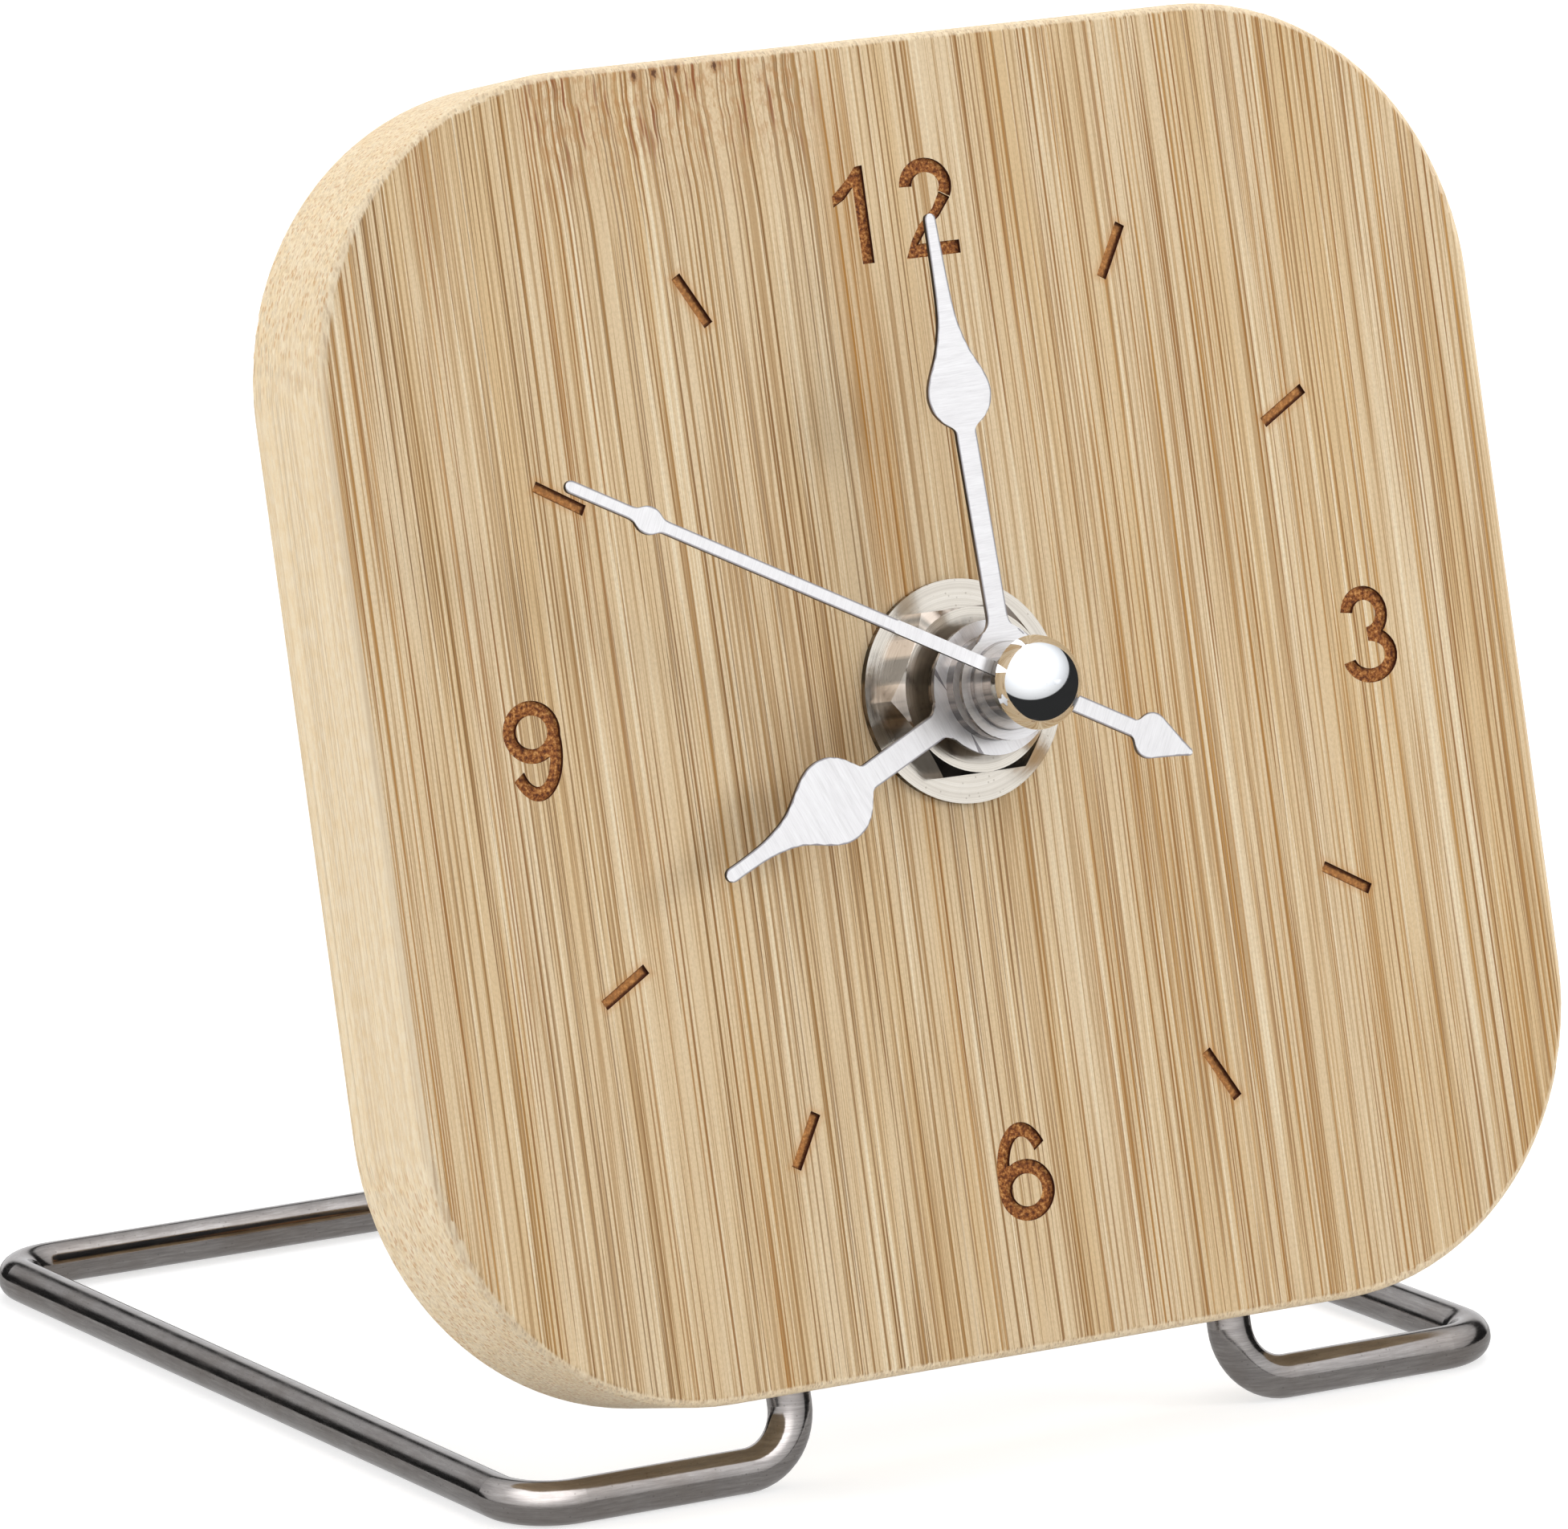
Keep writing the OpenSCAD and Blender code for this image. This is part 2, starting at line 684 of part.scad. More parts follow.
module movement_cover() {
    cover_low = partition_v;
    cover_high = in_top - drop_fit;
    half = in_u - drop_fit;
    color("black") on_dial() difference() {
        block([-half, cover_low, case_back], [half, cover_high, cover_front]);
        pivot_bore(setting_at, setting_arbor_r + run_fit, case_back, cover_front);
        for (side = [-1, 1]) translate([side * half, cover_high, 0]) rotate([0, 0, side > 0 ? 180 : 270])
            corner_cut(case_corner_r - case_wall, case_back, cover_front);
    }
}

// What a square corner loses when it is rounded, the corner at the origin
module corner_cut(r, low, high) {
    difference() {
        block([-overrun, -overrun, low - overrun], [r, r, high + overrun]);
        translate([r, r, 0]) disc(r, low - 2 * overrun, high + 2 * overrun);
    }
}

// Bushing that clamps the movement to the plate, with a thread along it
module threaded_bushing() {
    turns = floor((bushing_out - case_front) / thread_pitch);
    thread_start = bushing_out - turns * thread_pitch;
    crest = bushing_r;
    valley = bushing_r - thread_depth;
    color("silver") on_dial() difference() {
        union() {
            rotate_extrude() polygon(concat(
                [[0, case_floor - flange_t], [valley, case_floor - flange_t]],
                [for (i = [0 : turns - 1], k = [0, 1])
                    [k == 0 ? valley : crest, thread_start + (i + k / 2) * thread_pitch]],
                [[valley, bushing_out], [0, bushing_out]]
            ));
            disc(bushing_r, case_floor - flange_t / 2, case_front);
            disc(bushing_flange_r, case_floor - flange_t, case_floor);
        }
        disc(hour_pipe_r + run_fit, case_floor - flange_t - overrun, bushing_out + overrun);
    }
}

module flat_washer() {
    color("silver") on_dial() ring(washer_d / 2, bushing_r + drop_fit, 0, washer_t);
}

// Hex nut with its front corners turned down to a cone
module hex_nut() {
    corner_share = 1 / cos(30);
    point_r = nut_af / 2 * corner_share;
    nut_top = washer_t + nut_t;
    cone_h = (point_r - nut_af / 2) * tan(nut_chamfer_angle);
    color("silver") on_dial() difference() {
        intersection() {
            translate([0, 0, washer_t]) cylinder(r = point_r, h = nut_t, $fn = 6);
            rotate_extrude() polygon([
                [0, washer_t], [point_r, washer_t], [point_r, nut_top - cone_h],
                [nut_af / 2, nut_top], [0, nut_top]
            ]);
        }
        disc(bushing_r + seat_fit, washer_t - overrun, nut_top + overrun);
    }
}

module hour_wheel() {
    phase = mesh_phase(setting_dir + 180, 0, setting_pinion_teeth, hour_teeth);
    color("white") on_dial() difference() {
        union() {
            wheel(hour_teeth, hour_module, phase, hour_wheel_w - wheel_t, hour_wheel_w);
            disc(hour_pipe_r, hour_wheel_w - wheel_t, hour_top);
        }
        disc(minute_pipe_r + run_fit, hour_wheel_w - wheel_t - overrun, hour_top + overrun);
    }
}

module hour_hand() {
    color("gainsboro") on_dial() rotate(-hour_angle) difference() {
        union() {
            blade(hour_len, hour_blade_shares, hour_level);
            disc(hour_hub_d / 2, hour_level, hour_level + hand_t);
            disc(hour_boss_r, hour_level, hour_top);
        }
        disc(hour_pipe_r + seat_fit, hour_level - overrun, hour_top + overrun);
    }
}

// Minute pipe: carries the minute hand in front and the centre wheel behind
module cannon_pinion() {
    pipe_back = centre_wheel_w - wheel_t - run_fit;
    color("gainsboro") on_dial() difference() {
        union() {
            pinion(cannon_teeth, minute_module, 0, minute_work_w - wheel_t, minute_work_w);
            disc(minute_pipe_r, pipe_back, hand_nut_top);
        }
        disc(arbor_r + run_fit, pipe_back - overrun, hand_nut_top + overrun);
    }
}

module centre_wheel() {
    phase = mesh_phase(third_dir + 180, 0, third_pinion_teeth, centre_teeth);
    color("ivory") on_dial() difference() {
        wheel(centre_teeth, centre_module, phase, centre_wheel_w - wheel_t, centre_wheel_w);
        disc(minute_pipe_r + seat_fit, centre_wheel_w - wheel_t - overrun, centre_wheel_w + overrun);
    }
}

module minute_hand() {
    color("gainsboro") on_dial() rotate(-minute_angle) difference() {
        union() {
            blade(minute_len, minute_blade_shares, minute_level);
            disc(minute_hub_d / 2, minute_level, minute_level + hand_t);
            disc(minute_boss_r, minute_level, minute_top);
        }
        disc(minute_pipe_r + seat_fit, minute_level - overrun, minute_top + overrun);
    }
}

module hand_nut() {
    color("silver") on_dial() ring(hand_nut_r, minute_pipe_r + seat_fit, minute_top, hand_nut_top);
}

// Long steel arbor that turns inside the minute pipe
module seconds_arbor() {
    color("silver") on_dial() {
        disc(arbor_r, rear_bridge_w + run_fit, cap_base);
        disc(pivot_r, rear_bridge_w - plate_gap_t, rear_bridge_w + run_fit);
    }
}

module seconds_wheel() {
    back = seconds_wheel_w - wheel_t;
    pinion_top = third_wheel_w + level_gap / 2;
    color("white") on_dial() difference() {
        union() {
            wheel(seconds_teeth, fifth_module, 0, back, seconds_wheel_w);
            pinion(seconds_pinion_teeth, third_module, 0, seconds_wheel_w, pinion_top);
        }
        disc(arbor_r + seat_fit, back - overrun, pinion_top + overrun);
    }
}

module seconds_hand() {
    tube_back = seconds_level - seconds_tube_h;
    color("gainsboro") on_dial() rotate(-seconds_angle) difference() {
        union() {
            blade(seconds_len, seconds_blade_shares, seconds_level);
            rotate(180) blade(tail_len, tail_blade_shares, seconds_level);
            disc(seconds_tube_r, tube_back, seconds_top);
        }
        disc(arbor_r + seat_fit, tube_back - overrun, seconds_top + overrun);
    }
}

// Domed cap on a short stem, over the end of the arbor
module centre_cap() {
    color("white") on_dial() difference() {
        union() {
            rotate_extrude() intersection() {
                translate([0, cap_ball_w]) circle(cap_ball_r);
                translate([0, cap_base]) square([cap_ball_r, cap_h + overrun]);
            }
            disc(cap_stem_r, seconds_top, cap_base);
        }
        disc(arbor_r + seat_fit, seconds_top - overrun, cap_base);
    }
}

// Arbor with a pivot on each end, between the middle plate and the rear bridge
module train_arbor() {
    disc(arbor_r, rear_bridge_w + run_fit, middle_w - plate_gap_t - run_fit);
    disc(pivot_r, rear_bridge_w - plate_gap_t, middle_w);
}

module third_wheel() {
    phase = mesh_phase(third_dir, 0, seconds_pinion_teeth, third_teeth);
    color("ivory") on_dial() translate([third_at[0], third_at[1], 0]) {
        wheel(third_teeth, third_module, phase, third_wheel_w - wheel_t, third_wheel_w);
        pinion(third_pinion_teeth, centre_module, 0, third_wheel_w, centre_wheel_w + level_gap / 2);
        train_arbor();
    }
}

module fifth_wheel() {
    phase = mesh_phase(fifth_dir, 0, seconds_teeth, fifth_pinion_teeth);
    color("ivory") on_dial() translate([fifth_at[0], fifth_at[1], 0]) {
        wheel(fifth_teeth, rotor_module, 0, fifth_wheel_w - wheel_t, fifth_wheel_w);
        pinion(fifth_pinion_teeth, fifth_module, phase, fifth_wheel_w, seconds_wheel_w + wheel_gap / 2);
        train_arbor();
    }
}

module rotor_pinion() {
    phase = mesh_phase(rotor_dir, 0, fifth_teeth, rotor_pinion_teeth);
    color("white") on_dial() translate([rotor_at[0], rotor_at[1], 0]) {
        pinion(rotor_pinion_teeth, rotor_module, phase, magnet_w, fifth_wheel_w + wheel_gap / 2);
        train_arbor();
    }
}

module rotor_magnet() {
    color("dimgray") on_dial() translate([rotor_at[0], rotor_at[1], 0])
        ring(rotor_magnet_r, arbor_r + seat_fit, magnet_w - magnet_t, magnet_w);
}

// Reduction wheel of the hour hand, on the arbor that ends in the knob
module setting_wheel() {
    phase = mesh_phase(setting_dir, 0, cannon_teeth, setting_teeth);
    color("white") on_dial() translate([setting_at[0], setting_at[1], 0]) {
        wheel(setting_teeth, minute_module, phase, minute_work_w - wheel_t, minute_work_w);
        pinion(setting_pinion_teeth, hour_module, 0, minute_work_w, hour_wheel_w + level_gap / 2);
        disc(setting_arbor_r, case_back - knob_gap - knob_h + knob_slot_d, minute_work_w);
        disc(pivot_r, minute_work_w, case_floor + case_wall / 2 - run_fit);
    }
}

module setting_knob() {
    front = case_back - knob_gap;
    back = front - knob_h;
    color("black") on_dial() translate([setting_at[0], setting_at[1], 0]) difference() {
        disc(knob_d / 2, back, front);
        disc(setting_arbor_r + seat_fit, back + knob_slot_d, front + overrun);
        for (i = [1 : knob_grooves]) rotate(i * 360 / knob_grooves) translate([knob_d / 2, 0, 0])
            disc(knob_groove_r, back - overrun, front + overrun);
        block([-knob_d / 3, -knob_slot / 2, back - overrun],
            [knob_d / 3, knob_slot / 2, back + knob_slot_d]);
    }
}

// Plate that spans the four posts, with a bore for each arbor
module train_plate(front, centre_bore) {
    back = front - plate_gap_t;
    low_u = train_left - plate_margin;
    high_u = train_right + plate_margin;
    difference() {
        block([low_u, train_low - plate_margin, back], [high_u, train_high + plate_margin, front]);
        for (at = [third_at, fifth_at, rotor_at]) pivot_bore(at, pivot_r + run_fit, back, front);
        for (at = train_posts) pivot_bore(at, pin_r + seat_fit, back, front);
        pivot_bore(setting_at, setting_arbor_r + run_fit, back, front);
        pivot_bore([0, 0], centre_bore, back, front);
    }
}

module middle_plate() {
    spacer_front = middle_w - plate_gap_t;
    color("white") on_dial() {
        train_plate(middle_w, minute_pipe_r + run_fit);
        for (at = train_posts) translate([at[0], at[1], 0]) {
            ring(post_r, pin_r + seat_fit, rear_bridge_w, spacer_front);
            disc(pin_r, rear_bridge_w - plate_gap_t, spacer_front - overrun);
        }
    }
}

module rear_bridge() {
    color("white") on_dial() train_plate(rear_bridge_w, pivot_r + run_fit);
}

// Soft iron plate that wraps the rotor and reaches up to the coil's core
module stator() {
    back = stator_front_w - stator_t;
    ring_r = rotor_magnet_r + rotor_air_gap + stator_ring;
    leg_u = rotor_at[0] - leg_in;
    color("slategray") on_dial() difference() {
        union() {
            translate([rotor_at[0], rotor_at[1], 0]) disc(ring_r, back, stator_front_w);
            block([leg_u, rotor_at[1], back], [leg_u + leg_wide, arm_low + arm_wide, stator_front_w]);
            block([core_left, arm_low, back], [leg_u + leg_wide, arm_low + arm_wide, stator_front_w]);
            block([core_left, arm_low, back], [core_left + core_w, core_high, stator_front_w]);
            block([rotor_at[0], rotor_at[1] - arm_wide / 2, back],
                [core_right, rotor_at[1] + arm_wide / 2, stator_front_w]);
            block([core_right - core_w, rotor_at[1] - arm_wide / 2, back],
                [core_right, core_high, stator_front_w]);
        }
        pivot_bore(rotor_at, rotor_magnet_r + rotor_air_gap, back, stator_front_w);
        for (u = [core_left + core_w / 2, core_right - core_w / 2])
            pivot_bore([u, core_v], pin_r + seat_fit, back, stator_front_w);
    }
}

module coil_core() {
    color("slategray") on_dial() difference() {
        block([core_left, core_v - core_w / 2, stator_front_w],
            [core_right, core_high, stator_front_w + stator_t]);
        for (u = [core_left + core_w / 2, core_right - core_w / 2])
            pivot_bore([u, core_v], pin_r + seat_fit, stator_front_w, stator_front_w + stator_t);
    }
}

// Box across the coil, from one end to the other, of a given height each way
module coil_box(start, end, tall, deep) {
    block([start, core_v - tall / 2, core_mid_w - deep / 2],
        [end, core_v + tall / 2, core_mid_w + deep / 2]);
}

module coil_bobbin() {
    left = coil_u - coil_len / 2;
    right = coil_u + coil_len / 2;
    hole_tall = core_w + 2 * drop_fit;
    hole_deep = stator_t + 2 * drop_fit;
    color("white") on_dial() difference() {
        union() {
            coil_box(left, right, hole_tall + 2 * bobbin_wall, hole_deep + 2 * bobbin_wall);
            coil_box(left, left + bobbin_flange_t, bobbin_flange, bobbin_flange);
            coil_box(right - bobbin_flange_t, right, bobbin_flange, bobbin_flange);
        }
        coil_box(left - overrun, right + overrun, hole_tall, hole_deep);
    }
}

module coil_winding() {
    left = coil_u - coil_len / 2 + bobbin_flange_t;
    right = coil_u + coil_len / 2 - bobbin_flange_t;
    tube_tall = core_w + 2 * drop_fit + 2 * bobbin_wall;
    tube_deep = stator_t + 2 * drop_fit + 2 * bobbin_wall;
    color("peru") on_dial() difference() {
        coil_box(left, right, winding_h, winding_h);
        coil_box(left - overrun, right + overrun, tube_tall, tube_deep);
    }
}

module circuit_board() {
    color("olivedrab") on_dial() difference() {
        block([-board_half, board_low, board_w], [board_half, in_top - drop_fit, board_w + board_t]);
        for (side = [-1, 1])
            pivot_bore([side * board_post_u, board_post_v], pin_r + seat_fit, board_w, board_w + board_t);
    }
}

module quartz_crystal() {
    color("silver") on_dial()
        translate([crystal_at[0] - crystal_len / 2, crystal_at[1], board_w + board_t + crystal_r])
        rotate([0, 90, 0]) cylinder(r = crystal_r, h = crystal_len);
}

module chip() {
    color("black") on_dial() translate([chip_at[0], chip_at[1], 0])
        disc(chip_r, board_w + board_t, board_w + board_t + chip_h);
}

// Lies along the bottom of the case, its terminal to the right
module battery() {
    color("dimgray") on_dial() translate([battery_back_u, battery_v, battery_w]) rotate([0, 90, 0])
        cylinder(r = battery_r, h = battery_len - terminal_h);
}

module battery_terminal() {
    color("silver") on_dial() translate([battery_end_u - terminal_h, battery_v, battery_w])
        rotate([0, 90, 0]) cylinder(r = terminal_r, h = terminal_h);
}

// Strip up the case's side wall, from the battery bay to the board's front
module contact_strip() {
    tongue_low = partition_v - contact_rise;
    tongue_high = board_low + contact_tongue;
    tongue_back = board_w + board_t;
    block([contact_u, battery_v - contact_wide / 2, battery_w - contact_wide / 2],
        [contact_u + sheet_t, tongue_low, battery_w + contact_wide / 2]);
    block([contact_u, battery_v, tongue_back],
        [contact_u + sheet_t, tongue_high, tongue_back + contact_tongue]);
    block([board_half - contact_tongue, board_low, tongue_back],
        [contact_u + sheet_t, tongue_high, tongue_back + sheet_t]);
}

module positive_contact() {
    color("silver") on_dial() contact_strip();
}

// The left strip carries a bent leaf that presses on the battery's flat end
module negative_contact() {
    leaf_tip = battery_back_u - contact_gap;
    wall_u = -contact_u;
    half = contact_wide / 2;
    color("silver") on_dial() {
        mirror([1, 0, 0]) contact_strip();
        translate([0, 0, battery_w - spring_wide / 2]) linear_extrude(spring_wide) polygon([
            [wall_u, battery_v - half], [leaf_tip, battery_v - sheet_t], [leaf_tip, battery_v + sheet_t],
            [wall_u, battery_v + half], [wall_u, battery_v + half - 2 * sheet_t],
            [leaf_tip - sheet_t, battery_v], [wall_u, battery_v - half + 2 * sheet_t]
        ]);
    }
}

dial_plate();
wire_stand();
rubber_gasket();
movement_case();
movement_cover();
threaded_bushing();
flat_washer();
hex_nut();
hour_wheel();
hour_hand();
cannon_pinion();
centre_wheel();
minute_hand();
hand_nut();
seconds_arbor();
seconds_wheel();
seconds_hand();
centre_cap();
third_wheel();
fifth_wheel();
rotor_pinion();
rotor_magnet();
setting_wheel();
setting_knob();
middle_plate();
rear_bridge();
stator();
coil_core();
coil_bobbin();
coil_winding();
circuit_board();
quartz_crystal();
chip();
battery();
battery_terminal();
positive_contact();
negative_contact();
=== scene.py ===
import json
import math

import bpy
from mathutils import Euler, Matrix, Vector

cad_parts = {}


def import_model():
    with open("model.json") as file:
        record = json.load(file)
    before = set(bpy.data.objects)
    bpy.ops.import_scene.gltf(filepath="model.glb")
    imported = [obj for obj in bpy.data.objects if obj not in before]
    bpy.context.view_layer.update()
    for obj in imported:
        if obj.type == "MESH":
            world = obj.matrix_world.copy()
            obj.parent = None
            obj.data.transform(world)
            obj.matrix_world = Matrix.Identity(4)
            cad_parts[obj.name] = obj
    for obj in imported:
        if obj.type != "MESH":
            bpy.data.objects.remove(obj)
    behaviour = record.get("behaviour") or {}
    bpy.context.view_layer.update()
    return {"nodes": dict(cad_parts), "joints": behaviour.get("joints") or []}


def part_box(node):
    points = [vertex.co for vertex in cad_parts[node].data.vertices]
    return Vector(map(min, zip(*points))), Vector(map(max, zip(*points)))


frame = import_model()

MM = 0.001
PER_METRE = (1 / MM,) * 3
NODES = frame["nodes"]

# The dial's centre and the way out of its back, from the seconds hand's joint
SPIN = next(joint for joint in frame["joints"] if joint["name"] == "seconds_spin")
SPIN_DEPTH = 8 * MM
BACK = Vector(SPIN["axis"])
DIAL_CENTRE = Vector(SPIN["pos_m"]) - SPIN_DEPTH * BACK
LEAN = math.atan2(-BACK.z, BACK.y)

# Turn of each hand from twelve o'clock, clockwise
HOUR_TURN = math.radians(245.3)
MINUTE_TURN = math.radians(357.8)
SECONDS_TURN = math.radians(297.6)

# Camera of the photograph
PHOTO_WIDTH = 1953
SENSOR = 36.0
FOCAL_PIXELS = 14502.2
CAMERA_AT = Vector((-0.4343809, -0.778744, 0.2298034))
CAMERA_TURN = Euler((1.3672536, 0.0280453, -0.5187859))
CAMERA_SEES = (0.01, 100.0)


# Helpers that place shader nodes

def tone(red, green, blue):
    """A colour given as screen values from 0 to 255."""
    def linear(value):
        share = value / 255
        return share / 12.92 if share <= 0.04045 else ((share + 0.055) / 1.055) ** 2.4
    return (linear(red), linear(green), linear(blue), 1.0)


def connect(tree, socket, value):
    """Feeds a socket from another node's output, or sets it to a number, colour or vector."""
    if isinstance(value, bpy.types.NodeSocket):
        tree.links.new(value, socket)
    else:
        socket.default_value = value


def put(tree, kind, inputs=None, **settings):
    """Adds a node with its settings and inputs."""
    node = tree.nodes.new(kind)
    for name, value in settings.items():
        setattr(node, name, value)
    for key, value in (inputs or {}).items():
        connect(tree, node.inputs[key], value)
    return node


def use(tree, group, inputs):
    """Places a shared group in a material; returns its outputs."""
    return put(tree, "ShaderNodeGroup", inputs, node_tree=group).outputs


def calc(tree, operation, first, second=0.0, third=0.0):
    """One step of arithmetic."""
    return put(tree, "ShaderNodeMath", {0: first, 1: second, 2: third}, operation=operation).outputs[0]


def product(tree, first, *others):
    """Numbers multiplied together; of masks, the place where all of them hold."""
    for other in others:
        first = calc(tree, "MULTIPLY", first, other)
    return first


def vector_calc(tree, operation, first, second=(0.0, 0.0, 0.0)):
    """One step of vector arithmetic that gives a vector."""
    return put(tree, "ShaderNodeVectorMath", {0: first, 1: second}, operation=operation).outputs[0]


def dot_product(tree, first, second):
    """How far two vectors point the same way."""
    node = put(tree, "ShaderNodeVectorMath", {0: first, 1: second}, operation="DOT_PRODUCT")
    return node.outputs["Value"]


def length(tree, vector):
    """How long a vector is."""
    return put(tree, "ShaderNodeVectorMath", {0: vector}, operation="LENGTH").outputs["Value"]


def span(tree, value, low, high, to_low=0.0, to_high=1.0, soft=True):
    """Moves a value from one range to another and stops at its ends."""
    ends = {"Value": value, "From Min": low, "From Max": high, "To Min": to_low, "To Max": to_high}
    kind = "SMOOTHSTEP" if soft else "LINEAR"
    return put(tree, "ShaderNodeMapRange", ends, interpolation_type=kind).outputs["Result"]


def window(tree, value, rise, fall):
    """A mask that comes in over the first range of a value and goes out over the second."""
    return product(tree, span(tree, value, *rise), span(tree, value, *fall))


def inside(tree, value, ends):
    """1 where a value lies between two ends, or else 0."""
    above = calc(tree, "GREATER_THAN", value, ends[0])
    return product(tree, above, calc(tree, "LESS_THAN", value, ends[1]))


def mixed(tree, share, first, second):
    """Mixes two colours."""
    return put(tree, "ShaderNodeMix", {0: share, 6: first, 7: second}, data_type="RGBA").outputs[2]


def tinted(tree, colour, mask, share, tint):
    """Lays a tint over a colour where a mask holds, up to a share of it."""
    return mixed(tree, product(tree, mask, share), colour, tint)


def parts_of(tree, vector):
    """The three numbers of a vector."""
    node = put(tree, "ShaderNodeSeparateXYZ", {0: vector})
    return node.outputs[0], node.outputs[1], node.outputs[2]


def joined(tree, x, y, z):
    """A vector from three numbers."""
    return put(tree, "ShaderNodeCombineXYZ", {0: x, 1: y, 2: z}).outputs[0]


def noise(tree, vector, scale, detail=2.0, roughness=0.5, distortion=0.0):
    """A cloudy pattern between 0 and 1."""
    settings = {"Vector": vector, "Scale": scale, "Detail": detail, "Roughness": roughness,
                "Distortion": distortion}
    return put(tree, "ShaderNodeTexNoise", settings).outputs["Fac"]


def stretched(tree, vector, fineness, detail=2.0, roughness=0.5):
    """Noise with its own fineness, in turns per millimetre, along each axis."""
    return noise(tree, vector_calc(tree, "MULTIPLY", vector, fineness), 1.0, detail, roughness)


def grained(tree, vector, across, along, detail=2.0, roughness=0.5):
    """Noise that is drawn out along the second axis, as wood grain is."""
    return stretched(tree, vector, (across, along, across), detail, roughness)


def ramp(tree, value, stops):
    """Colours along a value from 0 to 1."""
    node = put(tree, "ShaderNodeValToRGB", {0: value})
    band = node.color_ramp
    while len(band.elements) > 1:
        band.elements.remove(band.elements[-1])
    band.elements[0].position, band.elements[0].color = stops[0]
    for place, colour in stops[1:]:
        band.elements.new(place).color = colour
    return node.outputs["Color"]


def relief(tree, height, strength, distance):
    """A normal that follows a height; the distance is in metres."""
    settings = {"Height": height, "Strength": strength, "Distance": distance}
    return put(tree, "ShaderNodeBump", settings).outputs["Normal"]


def into_dial(turn=0.0):
    """The rotation from the room's axes to the dial's, or to those of a hand turned on it."""
    return Euler((LEAN - math.pi / 2, 0.0, turn))


def dial_place(tree, turn=0.0):
    """Millimetres from the dial's centre: across, up the plate and out of its face."""
    rotation = into_dial(turn)
    shift = -(rotation.to_matrix() @ DIAL_CENTRE) / MM
    where = put(tree, "ShaderNodeTexCoord").outputs["Object"]
    settings = {"Vector": where, "Location": shift, "Rotation": rotation, "Scale": PER_METRE}
    return put(tree, "ShaderNodeMapping", settings).outputs["Vector"]


def room_place(tree):
    """Millimetres in the clock's own frame, up from the table."""
    where = put(tree, "ShaderNodeTexCoord").outputs["Object"]
    return vector_calc(tree, "MULTIPLY", where, PER_METRE)


def from_axis(tree, across, up):
    """Millimetres from the dial's axis."""
    return length(tree, joined(tree, across, up, 0.0))


def facing_out(tree):
    """How squarely a surface faces along the dial's axis: 1 on the face, 0 on its sides."""
    normal = put(tree, "ShaderNodeTexCoord").outputs["Normal"]
    return calc(tree, "ABSOLUTE", dot_product(tree, normal, tuple(BACK)))


# Effects that several materials share

VECTOR_SOCKET = "NodeSocketVector"
NUMBER_SOCKET = "NodeSocketFloat"

# Their patterns: fineness where the material doesn't give it, detail, roughness and distortion
SCRATCHES_FINE = (1.0, 3.0, 0.7)
SCRATCHES_COARSE = (0.23, 2.0, 0.6)
SMUDGE_CLOUD = (4.0, 0.6, 0.4)
SKIN_PITS = (3.0, 0.6)
SKIN_WAVE = (0.12, 1.0)

# The ranges over which they show, and how much of each goes into a mix
SMUDGE_RANGE = (0.35, 0.7)
SPECK_RANGE = (0.16, 0.08)
SKIN_PATCH_RANGE = (0.35, 0.65)
SCRATCHES_FINE_SHARE = 0.65
SKIN_WAVE_UP = 0.8


def new_group(name, numbers, results):
    """A node group from a vector and named numbers to named results, with the sockets at its ends."""
    group = bpy.data.node_groups.new(name, "ShaderNodeTree")
    group.interface.new_socket("Vector", in_out="INPUT", socket_type=VECTOR_SOCKET)
    for label, start in numbers.items():
        socket = group.interface.new_socket(label, in_out="INPUT", socket_type=NUMBER_SOCKET)
        socket.default_value = start
    for label in results:
        group.interface.new_socket(label, in_out="OUTPUT", socket_type=NUMBER_SOCKET)
    given = group.nodes.new("NodeGroupInput").outputs
    result = group.nodes.new("NodeGroupOutput").inputs
    return group, given, result


def long_fibres_group():
    """Thin threads along the second axis, each with its own chance number."""
    group, given, result = new_group(
        "long_fibres", {"Width": 0.4, "Length": 40.0, "Core": 0.3, "Softness": 0.12}, ["Mask", "Chance"])
    size = joined(group, given["Width"], given["Length"], given["Width"])
    at = vector_calc(group, "DIVIDE", given["Vector"], size)
    cell = put(group, "ShaderNodeTexVoronoi", {"Vector": at, "Scale": 1.0}).outputs
    outer = calc(group, "ADD", given["Core"], given["Softness"])
    connect(group, result["Mask"], span(group, cell["Distance"], outer, given["Core"]))
    connect(group, result["Chance"], put(group, "ShaderNodeSeparateColor", {0: cell["Color"]}).outputs[0])
    return group


def brushing_group():
    """Fine scratches along the second axis, as a belt leaves them."""
    group, given, result = new_group("brushing", {"Across": 12.0, "Along": 0.4}, ["Shade"])
    fineness = joined(group, given["Across"], given["Along"], given["Across"])
    at = vector_calc(group, "MULTIPLY", given["Vector"], fineness)
    fine = product(group, noise(group, at, *SCRATCHES_FINE), SCRATCHES_FINE_SHARE)
    coarse = product(group, noise(group, at, *SCRATCHES_COARSE), 1 - SCRATCHES_FINE_SHARE)
    connect(group, result["Shade"], calc(group, "ADD", fine, coarse))
    return group


